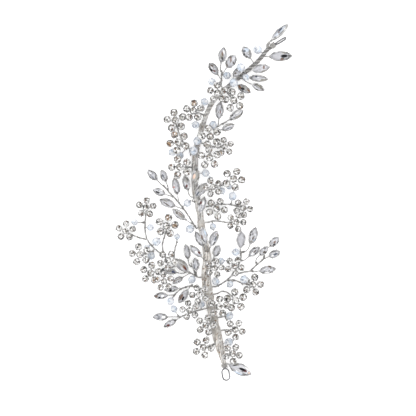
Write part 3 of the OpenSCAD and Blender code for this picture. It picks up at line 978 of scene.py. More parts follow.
# Painted reflections: how light or dark the room looks in the facets of the leaf stones and of the round
# stones.
LEAF_FACET_REFLECTIONS = FacetReflections(
    (0.42, 0.85, 0.1), (0.45, 0.95, 0.1), (0.65, 1.0, 0.05), (0.35, 0.9, 0.14), (0.25, 0.7, 0.18)
)
ROUND_FACET_REFLECTIONS = FacetReflections(
    (0.7, 1.0, 0.22), (0.75, 1.0, 0.2), (0.7, 1.0, 0.2), (0.6, 1.0, 0.3), (0.45, 1.0, 0.35)
)


@dataclass(frozen=True)
class Cut:
    """How a stone is cut: the rings of corners from the table's middle to the girdle."""

    table: tuple[float, float]
    crown: float
    pavilion: float
    tones: FacetReflections
    girdle_band: float = 0.12
    kite_swell: float = 1.02
    dark_reflections: tuple[float, float] = (0.0, 0.2)
    girdle_tones: tuple[float, float] = (0.3, 0.5)
    splits: int = 2

    def facets(
        self,
        outline: Points,
        draft: Draft,
        place: Place,
        dice: random.Random,
        spots: tuple[Spot, ...] = (),
    ) -> None:
        """Cuts one stone, with a tone of painted reflection for each facet.

        Args:
            outline: The girdle's corners, x and y, an even number of them.
            draft: The mesh that takes the stone.
            place: The girdle's middle, with the stone's own axes.
            dice: The stone's own chances.
            spots: The spots where facets flash a colour.
        """
        n = len(outline)
        half = n // 2
        mains, betweens = outline[::2], outline[1::2]
        table = np.array(self.table)

        def ring(corners: Points, share: Points | float, z: float) -> Points:
            """Returns a ring of corners at one height."""
            return np.column_stack([corners * share, np.full(len(corners), z)])

        points = np.concatenate(
            [
                [[0, 0, self.crown]],
                ring(betweens, table * 0.5, self.crown),
                ring(mains, table, self.crown),
                ring(betweens, (table + 1) / 2 * self.kite_swell, self.crown * 0.5),
                ring(outline, 1.0, 0.0),
                ring(outline, 1.0, -self.girdle_band),
                [[0, 0, -self.pavilion]],
            ]
        )
        hearts, tables = 1, 1 + half
        kite, rim = 1 + 2 * half, 1 + 3 * half
        under, culet = rim + n, rim + 2 * n
        faces: list[Face] = []
        tones: list[float] = []

        def tone(chance: Chance) -> float:
            """Draws a facet's tone of painted reflection, sometimes a dark one."""
            *light, dark = chance
            return dice.uniform(*(self.dark_reflections if dice.random() < dark else light))

        def cut(corners: Face, shade: float) -> None:
            """Cuts one facet."""
            faces.append(corners)
            tones.append(shade)

        for k in range(half):
            m, p, main = (k + 1) % half, (k - 1) % half, rim + 2 * k
            cut((0, hearts + k, hearts + m), tone(self.tones.heart))
            cut((hearts + k, tables + k, tables + m), tone(self.tones.table))
            cut((hearts + p, tables + k, hearts + k), tone(self.tones.table))
            cut((tables + k, kite + k, tables + m), tone(self.tones.star))
            flank = tone(self.tones.kite)
            cut((tables + k, kite + p, main), flank)
            cut((tables + k, main, kite + k), flank)
            cut((kite + k, main, main + 1), tone(self.tones.edge))
            cut((kite + k, main + 1, rim + 2 * m), tone(self.tones.edge))
        for k in range(n):
            m = (k + 1) % n
            cut((rim + k, under + k, under + m, rim + m), dice.uniform(*self.girdle_tones))
            cut((under + k, culet, under + m), tone(self.tones.table))
        fans = fanned(faces)
        shades = [tones[i] for i, _ in fans]
        add_facets(draft, place, points[np.array([f for _, f in fans])], shades, spots, self.splits)


# Leaves


def rim_tones(
    rings: int, sides: int, first: int, choice: tuple[float, ...], dice: random.Random
) -> Points:
    """Draws the tones that a setting's rim reflects, over a wall of one even tone.

    Args:
        rings: How many rings the wall has.
        sides: Corners to a ring.
        first: The band of faces where the rim begins.
        choice: The tones, each drawn for two faces at a time.
        dice: The piece's own chances.

    Returns:
        A row of tones for each band between two rings.
    """
    tones = np.full((rings - 1, sides), 0.45)
    tones[first:] = np.repeat([dice.choice(choice) for _ in range(sides // 2)], 2)
    return tones


@dataclass(frozen=True)
class Navette:
    """A navette outline: two arcs that meet in a point at each end."""

    long: float
    wide: float

    def radius(self) -> float:
        """Returns the radius of each arc."""
        return (self.long**2 + self.wide**2) / (4 * self.wide)

    def grown(self, margin: float) -> "Navette":
        """Returns the outline moved out by an even margin, or in by a negative one."""
        r, o = self.radius() + margin, self.radius() - self.wide / 2
        return Navette(2 * math.sqrt(r * r - o * o), self.wide + 2 * margin)

    def half_width(self, x: float) -> float:
        """Returns half the width at a distance from the middle."""
        r = self.radius()
        return math.sqrt(max(r * r - x * x, 0)) - (r - self.wide / 2)

    def corners(self, steps: int) -> Points:
        """Sets corners along the outline, anticlockwise from its tip.

        Args:
            steps: How many to each arc.

        Returns:
            Rows of x and y.
        """
        r, o = self.radius(), self.radius() - self.wide / 2
        spread = math.asin(self.long / 2 / r)
        found = []
        for side in (1, -1):
            for k in range(steps):
                a = math.pi - side * math.pi / 2 - spread + 2 * spread * k / steps
                found.append([r * math.cos(a), r * math.sin(a) - side * o])
        return np.array(found)


@dataclass
class Leaf:
    """A navette leaf: its claw setting and its cut stone."""

    name: str
    node: str
    place: Place
    stone: Navette
    spots: tuple[Spot, ...] = ()
    height: float = 2.3
    girdle_drop: float = 0.3
    margin: float = 0.4
    crown: float = 0.75
    claw_share: float = 0.27
    claw_radii: tuple[float, ...] = (0.2, 0.29, 0.17)
    lug_d: float = 0.9
    lug_l: float = 1.24
    lug_bore: float = 0.2
    lug_out: float = 0.18
    wire_gap: float = 0.25
    arc_steps: int = 14
    lip: float = 0.46
    scallop: float = 0.07
    table: tuple[float, float] = (0.66, 0.52)
    foil_gap: float = 0.65
    stone_steps: int = 8

    @classmethod
    def read(cls, name: str, node: str, stone: Solid, settings: list[Solid]) -> "Leaf":
        """Works out a leaf from its packed stone and setting.

        Args:
            name: The leaf's name.
            node: The node that holds its stone.
            stone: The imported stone.
            settings: All packed leaf settings.

        Returns:
            The leaf, with its length from the wire to the tip.
        """
        up = main_normal(stone)
        heights = stone.points @ up
        near = 0.05 * np.ptp(heights)
        is_girdle = (heights < heights.max() - near) & (heights > heights.min() + near)
        girdle = stone.points[is_girdle]
        gaps = np.linalg.norm(girdle[:, None] - girdle[None], axis=2)
        a, b = np.unravel_index(gaps.argmax(), gaps.shape)
        middle = (girdle[a] + girdle[b]) / 2
        along = unit(girdle[a] - girdle[b])
        home = min(settings, key=lambda s: np.linalg.norm(s.middle() - middle))
        reach = (home.points - middle) @ along
        if reach.max() > -reach.min():
            along = -along
        place = place_of(middle, along, up)
        across = np.abs((girdle - middle) @ place.side).max() * 2
        return cls(name, node, place, Navette(float(gaps.max()), float(across)))

    def outline(self) -> Navette:
        """Returns the outline of the setting's wall."""
        return self.stone.grown(self.margin)

    def base(self) -> Place:
        """Returns the place of the setting's underside."""
        return self.place.at(0, 0, self.girdle_drop - self.height)

    def axis(self) -> Points:
        """Returns the direction from the wire to the tip."""
        return self.place.along

    def foot(self) -> Points:
        """Returns the point where the leaf's wire ends."""
        back = self.outline().long / 2 + self.lug_out + self.lug_d / 2 + self.wire_gap
        return self.base().at(-back, 0, self.height / 2).origin

    def hit(self, spot: Spot) -> float:
        """Measures how far out a spot lies on the leaf.

        Args:
            spot: The spot.

        Returns:
            0 at the leaf's middle, 1 at its edge.
        """
        away = np.array([*spot.middle, self.place.origin[2]]) - self.place.origin
        x, y, _ = np.array([self.place.along, self.place.side, self.place.up]) @ away
        return math.hypot(x / (self.stone.long / 2), y / (self.stone.wide / 2))

    def tray(self, draft: Draft, dice: random.Random) -> None:
        """Adds the tray's wall, with a bevelled foot and a scalloped rim that grips the stone.

        Args:
            draft: The mesh that takes it.
            dice: The leaf's own chances.
        """
        h = self.height
        # Margins out from the outline and heights above the foot
        profile = (
            (-0.75, 0.0), (-0.28, 0.12), (-0.1, 0.55), (0.0, 1.2), (0.0, h - 0.1), (-0.08, h + 0.02),
            (-0.3, h + 0.02), (-self.lip, h - 0.06), (-self.lip, 1.3),
        )
        rim = 5  # the ring that is scalloped
        walls = []
        for k, (margin, z) in enumerate(profile):
            flat = self.outline().grown(margin).corners(self.arc_steps)
            z_row = np.full(len(flat), z)
            if k == rim:
                z_row += self.scallop * np.where(np.arange(len(flat)) % 2, 1, -1)
            walls.append(np.column_stack([flat, z_row]))
        tones = rim_tones(len(profile), len(walls[0]), rim - 1, (0.0, 0.3, 0.6, 0.9, 1.0), dice)
        draft.rings(walls, self.base(), close_top=False, tones=tones)

    def claws(self, draft: Draft, dice: random.Random) -> None:
        """Adds the four claws, bent over the stone's edge.

        Args:
            draft: The mesh that takes them.
            dice: The leaf's own chances.
        """
        outline, base, h = self.outline(), self.base(), self.height
        x = self.claw_share * outline.long
        y = outline.half_width(x)
        # Ways out from the wall and heights above the foot
        claw = ((0.05, 0.45), (0.12, 1.4), (0.1, h), (-0.15, h + 0.28), (-0.62, h + 0.3))
        for sx, sy in ((-1, -1), (-1, 1), (1, -1), (1, 1)):
            out = unit(np.array([0.25 * sx, sy, 0.0]))
            rim = np.array([sx * x, sy * (y - 0.1), 0.0])
            path = smooth(np.array([rim + out * away + [0, 0, z] for away, z in claw]), 3)
            radii = np.interp(np.arange(len(path)), [0, 6, len(path) - 1], self.claw_radii)
            draft.tube(base.out(path), radii, 7, tone=dice.choice((0.2, 0.7, 1.0)))

    def lug(self, draft: Draft) -> None:
        """Adds the drilled lug that the wire is wound on.

        Args:
            draft: The mesh that takes it.
        """
        at = self.base().at(-self.outline().long / 2 - self.lug_out, 0, self.height / 2)
        r, h, bore, edge = self.lug_d / 2, self.lug_l / 2, self.lug_bore, 0.1
        outside = ((r - edge, -h), (r, -h + edge), (r, h - edge), (r - edge, h))
        profile = ((bore, -h), *outside, (bore, h), (bore, -h))
        draft.rings([circle(a, z, 14) for a, z in profile], at, close_foot=False, close_top=False)

    def build(self, dice: random.Random) -> Pieces:
        """Builds and dresses the leaf.

        Args:
            dice: The leaf's own chances.

        Returns:
            The setting and the stone.
        """
        setting = Draft()
        self.tray(setting, dice)
        self.claws(setting, dice)
        self.lug(setting)
        gem = Draft()
        deep = self.height - self.girdle_drop - self.foil_gap
        cut = Cut(self.table, self.crown, deep, LEAF_FACET_REFLECTIONS)
        cut.facets(self.stone.corners(self.stone_steps), gem, self.place, dice, self.spots)
        return [
            setting.piece(f"{self.name}_setting", SETTING, "settings", "leaf_settings"),
            gem.piece(f"{self.name}_stone", LEAF_GLASS, "leaf_stones", self.node),
        ]


# Flowers


@dataclass
class Flower:
    """A soldered flower: six claw cups on struts, each with a round stone."""

    name: str
    place: Place
    size: float
    amber: tuple[int, ...] = ()
    cup_d: float = 4.3
    cup_height: float = 2.2
    cup_wall: float = 0.22
    petal_orbit: float = 4.6
    middle_rise: float = 0.6
    girdle_drop: float = 0.35
    plate_drop: float = 0.1
    stone_gap: float = 0.12
    round_crown: float = 0.55
    wire_gap: float = 0.25
    petals: int = 5
    claws: int = 4
    claw_radii: tuple[float, ...] = (0.18, 0.32, 0.22)
    lip: float = 0.38
    cup_sides: int = 28
    table: tuple[float, float] = (0.58, 0.58)
    foil_gap: float = 1.1
    seat: float = 0.06
    amber_reach: float = 2.0
    level_gap: float = 0.02
    strut_r: float = 0.3
    strut_swell: float = 0.06
    strut_z: float = 0.2

    @classmethod
    def read(cls, name: str, solid: Solid) -> "Flower":
        """Works out a flower from its packed setting.

        Args:
            name: The flower's name.
            solid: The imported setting.

        Returns:
            The flower, with its first petal along its place's first axis.
        """
        up = main_normal(solid)
        heights = solid.points @ up
        size = (np.ptp(heights) - cls.middle_rise - cls.plate_drop) / cls.cup_height
        middles, normals, areas = solid.flats()
        level = heights.max() - cls.middle_rise
        rims = (normals @ up > SAME_WAY) & (np.abs(middles @ up - level) < cls.level_gap)
        weight = areas[rims][:, None]
        centre = (middles[rims] * weight).sum(0) / weight.sum()
        rough = place_of(centre, np.array([1.0, 0, 0]), up)
        out = middles[rims] - centre
        angle = np.arctan2(out @ rough.side, out @ rough.along)
        phase = np.angle((areas[rims] * np.exp(1j * cls.petals * angle)).sum()) / cls.petals
        return cls(name, rough.at(0, 0, -size * cls.cup_height).turned(phase), float(size))

    def foot(self) -> Points:
        """Returns the point where the flower's wire ends."""
        return self.place.at(0, 0, -self.plate_drop - self.wire_gap).origin

    def axis(self) -> Points:
        """Returns the direction that the flower faces."""
        return self.place.up

    def cups(self) -> list[Place]:
        """Places the cups.

        Returns:
            The place of each cup's foot, the middle one first.
        """
        orbit = self.size * self.petal_orbit
        arms = [self.place.turned(math.tau * k / self.petals) for k in range(self.petals)]
        return [self.place.at(0, 0, self.middle_rise)] + [arm.at(orbit, 0, 0) for arm in arms]

    def cup(self, draft: Draft, place: Place, deep: float, dice: random.Random) -> None:
        """Adds one cup with its claws.

        Args:
            draft: The mesh that takes it.
            place: The cup's foot.
            deep: How far its wall reaches below that foot.
            dice: The flower's own chances.
        """
        r, h = self.size * self.cup_d / 2, self.size * self.cup_height
        lip = self.lip * self.size
        # Radii and heights above the foot
        profile = (
            (r - 0.5, -deep), (r - 0.16, 0.18 - deep), (r - 0.04, 0.6), (r, h - 0.3), (r, h - 0.08),
            (r - 0.06, h - 0.01), (r - lip, h - 0.04), (r - lip, h - 0.9),
        )
        tones = rim_tones(len(profile), self.cup_sides, 3, (0.0, 0.1, 0.45, 0.8, 1.0), dice)
        rings = [circle(a, z, self.cup_sides) for a, z in profile]
        draft.rings(rings, place, close_top=False, tones=tones)
        claw = ((r - 0.03, h - 0.75), (r, h - 0.05), (r - 0.14, h + 0.2), (r - 0.66, h + 0.24))
        path = smooth(np.array([[x, 0, z] for x, z in claw]), 2)
        radii = np.interp(np.arange(len(path)), [0, 3, len(path) - 1], self.claw_radii)
        for k in range(self.claws):
            at = place.turned(math.tau * (k + 0.5) / self.claws)
            draft.tube(at.out(path), radii, 6, tone=dice.choice((0.0, 0.15, 0.6, 1.0)))

    def flecks(self, middle: Points, dice: random.Random, amber: bool) -> tuple[Spot, ...]:
        """Draws the painted reflections that mottle one round stone.

        Args:
            middle: The stone's middle.
            dice: The flower's own chances.
            amber: Whether it glows amber.

        Returns:
            The spots.
        """
        r = self.size * self.cup_d / 2

        def spot(accent: Accent, out: float, long: float, wide: float, share: float) -> Spot:
            """Draws a spot, with all lengths as shares of the cup's radius.

            Args:
                accent: Its colour.
                out: How far from the stone's middle it lies, in any direction.
                long: Half its length.
                wide: Half its width.
                share: How far the colour covers the facet's own.

            Returns:
                The spot.
            """
            a = dice.uniform(0, math.tau)
            at = (float(middle[0] + out * r * math.cos(a)), float(middle[1] + out * r * math.sin(a)))
            return Spot(accent, at, long * r, wide * r, dice.uniform(0, math.pi), share)

        found = [spot(Accent.OLIVE, 0.5, 0.75, 0.45, dice.uniform(0.15, 0.6))]
        if amber:
            found.append(spot(Accent.AMBER, 0.25, 0.6, 0.42, 0.75))
            found.append(spot(Accent.RUST, 0.45, 0.5, 0.26, 0.9))
        heart = dice.choice((0.16, 0.24, 0.32))
        found.append(spot(dice.choice((Accent.INK, Accent.SMOKE)), 0.12, heart, heart * 0.8, 0.8))
        for _ in range(dice.choice((2, 3, 4, 5))):
            dark_reflection = dice.choice((Accent.INK, Accent.INK, Accent.SMOKE, Accent.UMBER))
            out, long = dice.uniform(0.35, 0.8), dice.uniform(0.2, 0.38)
            found.append(spot(dark_reflection, out, long, dice.uniform(0.15, 0.2), 0.94))
        found.append(spot(Accent.SNOW, dice.uniform(0.2, 0.65), 0.26, 0.17, 0.95))
        return tuple(found)

    def struts(self, draft: Draft) -> None:
        """Adds the soldered struts behind the cups and the boss that takes the wire.

        Args:
            draft: The mesh that takes them.
        """
        steps = 7
        run = np.linspace(0.2, self.size * self.petal_orbit, steps)
        path = np.column_stack([run, np.zeros(steps), np.full(steps, self.strut_z)])
        radii = self.strut_r + self.strut_swell * np.cos(np.linspace(0, math.tau, steps))
        for k in range(self.petals):
            at = self.place.turned(math.tau * k / self.petals)
            draft.tube(at.out(path), radii, 8)
        # Radii and heights of the boss
        boss = ((0.5, -0.1), (0.8, 0.0), (0.9, 0.3), (0.6, 0.55))
        draft.rings([circle(a, z, 16) for a, z in boss], self.place)

    def build(self, dice: random.Random) -> Pieces:
        """Builds and dresses the flower.

        Args:
            dice: The flower's own chances.

        Returns:
            The setting and the stones.
        """
        setting, gems = Draft(), Draft()
        self.struts(setting)
        deep = self.size * self.cup_height - self.foil_gap
        cut = Cut(self.table, self.size * self.round_crown, deep, ROUND_FACET_REFLECTIONS, splits=1)
        r = self.size * self.cup_d / 2 - self.cup_wall - self.stone_gap + self.seat
        for k, place in enumerate(self.cups()):
            self.cup(setting, place, self.middle_rise if k == 0 else 0.0, dice)
            drop = self.size * self.cup_height - self.girdle_drop
            girdle = place.turned(dice.uniform(0, math.tau)).at(0, 0, drop)
            spots = self.flecks(girdle.origin, dice, k in self.amber)
            cut.facets(circle(r, 0, 16)[:, :2], gems, girdle, dice, spots)
        return [
            setting.piece(f"{self.name}_setting", SETTING, "settings", "flower_settings"),
            gems.piece(f"{self.name}_stones", ROUND_GLASS, "round_stones", "flower_stones"),
        ]


# Beads


@dataclass
class Bead:
    """A drilled crystal bead, cut with bands of facets round its bore."""

    name: str
    place: Place
    radius: float
    bore_r: float = 0.51
    sides: int = 10
    bands: tuple[float, ...] = (-72, -50, -26, 0, 26, 50, 72)
    bore_zone: float = 0.7
    sparkle: tuple[float, float] = (1.0, 0.65)
    steepest: float = 1.15
    side_shade: float = 0.4
    lead: float = 0.5
    tail: float = 0.3

    @classmethod
    def read(cls, name: str, solid: Solid) -> "Bead":
        """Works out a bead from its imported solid.

        Args:
            name: The bead's name.
            solid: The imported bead.

        Returns:
            The bead, with its bore along its place's first axis.
        """
        middle = solid.middle()
        radius = float(np.linalg.norm(solid.points - middle, axis=1).max())
        middles, normals, areas = solid.flats()
        wall = np.linalg.norm(middles - middle, axis=1) < cls.bore_zone * radius
        spread = (normals[wall] * areas[wall, None]).T @ normals[wall]
        along = np.linalg.eigh(spread)[1][:, 0]
        return cls(name, place_of(middle, along, np.array([0, 0, 1.0])), radius)

    def axes_z(self) -> Points:
        """Returns the vine's upward direction along the bead's own axes."""
        return np.array([self.place.along[2], self.place.side[2], self.place.up[2]])

    def glints(self, dice: random.Random) -> tuple[Spot, ...]:
        """Draws the reflections in the crystal.

        Args:
            dice: The bead's own chances.

        Returns:
            The spots.
        """
        found = []
        kinds = (
            (Accent.MIST, 0.75, 0.4, 0.22, 0.6), (Accent.SKY, 0.4, 0.5, 0.3, 0.55),
            (Accent.SNOW, 0.25, 0.4, 0.26, 0.7),
        )
        for accent, out, long, wide, share in kinds:
            a = dice.uniform(0, math.tau)
            x, y = self.place.origin[:2] + out * self.radius * np.array([math.cos(a), math.sin(a)])
            sizes = (long * self.radius, wide * self.radius, a + math.pi / 2, share)
            found.append(Spot(accent, (float(x), float(y)), *sizes))
        return tuple(found)

    def build(self, dice: random.Random) -> Pieces:
        """Builds and dresses the bead.

        Args:
            dice: The bead's own chances.

        Returns:
            The bead.
        """
        n = self.sides

        def ring(at: float, radius: float, start: float = 0.0) -> Points:
            """Returns a ring of corners square to the bore."""
            return np.column_stack([np.full(n, at), circle(radius, 0, n, start)[:, :2]])

        edge = math.sqrt(self.radius**2 - self.bore_r**2)
        rows = [ring(-edge, self.bore_r)]
        for k, angle in enumerate(self.bands):
            a = math.radians(angle)
            start = math.pi * (k % 2) / n
            rows.append(ring(self.radius * math.sin(a), self.radius * math.cos(a), start))
        rows.append(ring(edge, self.bore_r))
        faces: list[Face] = []
        for i in range(len(rows) - 1):
            leads = 0 < i < len(rows) - 2 and i % 2 == 1
            for k in range(n):
                a, b = i * n + k, i * n + (k + 1) % n
                c, d = a + n, b + n
                faces.extend([(a, b, d), (a, d, c)] if leads else [(a, b, c), (b, d, c)])
        last = (len(rows) - 1) * n
        faces.extend((last + k, last + (k + 1) % n, (k + 1) % n, k) for k in range(n))
        corners = np.concatenate(rows)[np.array([f for _, f in fanned(faces)])]
        # Painted shade: the bead's sideways facets, lit less from above, are darkened; each tone is a
        # painted reflection.
        level = np.abs(corners.mean(1) @ self.axes_z()) / self.radius
        steep = np.clip(self.steepest - level, 0, 1)
        side_shaded = [1 - self.side_shade * float(s) ** 3 for s in steep]
        tones = [dice.betavariate(*self.sparkle) * share for share in side_shaded]
        draft = Draft()
        add_facets(draft, self.place, corners, tones, self.glints(dice), 1)
        return [draft.piece(self.name, BEAD_GLASS, "beads", "beads")]


# Wires


class Start(Enum):
    """What a side wire leaves."""

    STEM = "stem"
    FORK = "fork"


# Stem, from foot to top: u, v, thickness as a share of the stem's full thickness.
STEM_READINGS = (
    (223.9, 365.1, 0.42), (222.8, 359.5, 0.6), (221, 352, 0.88), (218.2, 341, 1), (216, 331, 0.96),
    (213.5, 320, 0.95), (211.5, 309, 0.95), (209, 297, 1), (206.8, 285, 1), (206, 273, 0.95),
    (207.3, 262, 0.9), (206.3, 251, 0.84), (204, 239, 0.76), (201.5, 227, 0.72), (200, 214, 0.7),
    (197.5, 201, 0.7), (195, 188, 0.7), (194.8, 175, 0.72), (194.8, 163, 0.72), (196, 151, 0.66),
    (199.5, 136, 0.6), (204, 121, 0.58), (209.5, 107, 0.56), (217, 96, 0.54), (226.5, 87.5, 0.5),
    (238, 78, 0.48), (248, 69.5, 0.46), (257, 61.5, 0.44), (263, 54.5, 0.42), (267.3, 49, 0.4),
    (272.2, 45.6, 0.38),
)

# Side wires: node, what it leaves, and its route in u and v.
SIDE_WIRES = (
    ("spray_top_left", Start.STEM, ((222, 91), (221, 85), (221.5, 78), (221.8, 71))),
    ("spray_high_left", Start.STEM, ((196, 152), (190, 149), (184, 143), (180, 135), (177, 127))),
    ("spray_high_right", Start.STEM,
     ((202.5, 126), (209, 128.5), (216, 127), (222, 123.5), (227, 121.2))),
    ("spray_upper_right", Start.STEM, ((198.3, 141), (206, 144), (214, 146.5), (222, 147))),
    ("spray_mid_right", Start.STEM,
     ((195.3, 190.5), (204, 191), (212, 188.5), (220, 186), (227, 182.5), (232, 180))),
    ("spray_waist_right", Start.STEM,
     ((198.8, 208), (208, 206.5), (219, 204.5), (229, 204.5), (240, 207))),
    ("spray_hip_right", Start.STEM,
     ((201.5, 227), (208, 222.3), (213.5, 221), (220, 221.5), (227, 222.5), (234, 222))),
    ("spray_low_right", Start.STEM,
     ((208, 291), (217, 286.5), (224, 282.5), (230, 277.5), (235, 271), (239, 264), (241, 257),
      (241, 252.5))),
    ("spray_low_right", Start.FORK, ((231, 276.6), (238, 274), (245, 272.3), (253.4, 271))),
    ("spray_low_right", Start.FORK, ((250, 271.3), (254, 267.5), (259, 263.2), (263.7, 259.3))),
    ("spray_low_right", Start.FORK, ((226, 281), (234, 280.5), (241, 283), (248, 285))),
    ("spray_foot_right", Start.STEM, ((209.4, 299), (217, 294), (223, 291.5), (229, 294), (234, 299))),
    ("spray_leg_right", Start.STEM, ((216, 331), (224, 330.6), (229, 330.2), (233.5, 330))),
    ("spray_leg_right", Start.STEM, ((213.3, 319), (221, 317.5), (226, 316.5))),
    ("spray_mid_left", Start.STEM,
     ((203, 234), (196, 228), (190.5, 219), (184.5, 210), (177.5, 201), (170, 193), (164, 186))),
    ("spray_low_left", Start.STEM,
     ((206.6, 284), (198, 277.5), (190, 273), (182, 270.5), (173, 263.5), (164, 256), (155, 249),
      (148, 241), (145.3, 232), (145.3, 222), (146.2, 211))),
    ("spray_low_left", Start.FORK, ((147, 239.5), (140, 238), (133, 235.2), (127.5, 232.2))),
    ("spray_low_left", Start.FORK, ((164.5, 256.4), (162.5, 246), (164.5, 237), (166.7, 229.5))),
    ("spray_low_left", Start.FORK, ((174, 264.3), (174.5, 252), (177, 242))),
    ("spray_low_left", Start.FORK, ((197, 276.8), (194, 270), (191, 263))),
    ("spray_low_left", Start.FORK, ((155, 249), (150, 253), (144.5, 254.5))),
    ("spray_low_left", Start.FORK, ((176, 266), (167, 269.5), (158, 272), (152, 272.5))),
    ("spray_hip_left", Start.STEM,
     ((208.2, 294), (199, 289), (190.5, 286.5), (183, 288.5), (177, 292.5), (173, 297.5))),
    ("spray_foot_left", Start.STEM,
     ((212, 311.5), (201, 310), (193, 312.5), (186, 315.5), (179, 317.5))),
)


@dataclass(frozen=True)
class Twist:
    """A wire of strands laid round one another."""

    strands: int
    strand_d: float
    pitch: float
    sides: int = 6
    steps: int = 10

    def lay(self) -> float:
        """Returns the distance of a strand's middle from the wire's own."""
        return self.strand_d / 2 / math.sin(math.pi / self.strands)

    def along(self, draft: Draft, path: Points, start: float = 0.0, tone: float = 0.5) -> None:
        """Adds the wire along a path.

        Args:
            draft: The mesh that takes it.
            path: The wire's middle line.
            start: The first strand's angle in radians.
            tone: The wire's tone.
        """
        even = resampled(path, self.pitch / self.steps)
        first, second = frames(even)
        turn = start + math.tau / self.steps * np.arange(len(even))
        for k in range(self.strands):
            a = turn + math.tau * k / self.strands
            strand = even + self.lay() * spun(a, first, second)
            draft.wire(strand, self.strand_d, self.sides, tone + (0.5 if k else -0.5))


def coil(
    path: Points, radius: Points | float, pitch: float, steps: int = 12, start: float = 0.0
) -> Points:
    """Winds a fine wire round a path.

    Args:
        path: The middle line of what it is wound on.
        radius: The coil's own radius, or one for each point of the path.
        pitch: Distance from one turn to the next.
        steps: Points to a turn.
        start: The first turn's angle in radians.

    Returns:
        The fine wire's middle line.
    """
    reach = np.broadcast_to(np.asarray(radius, float), (len(path),))
    even = resampled(np.column_stack([path[:, :3], reach]), pitch / steps)
    first, second = frames(even[:, :3])
    a = start + math.tau / steps * np.arange(len(even))
    return even[:, :3] + even[:, 3:] * spun(a, first, second)


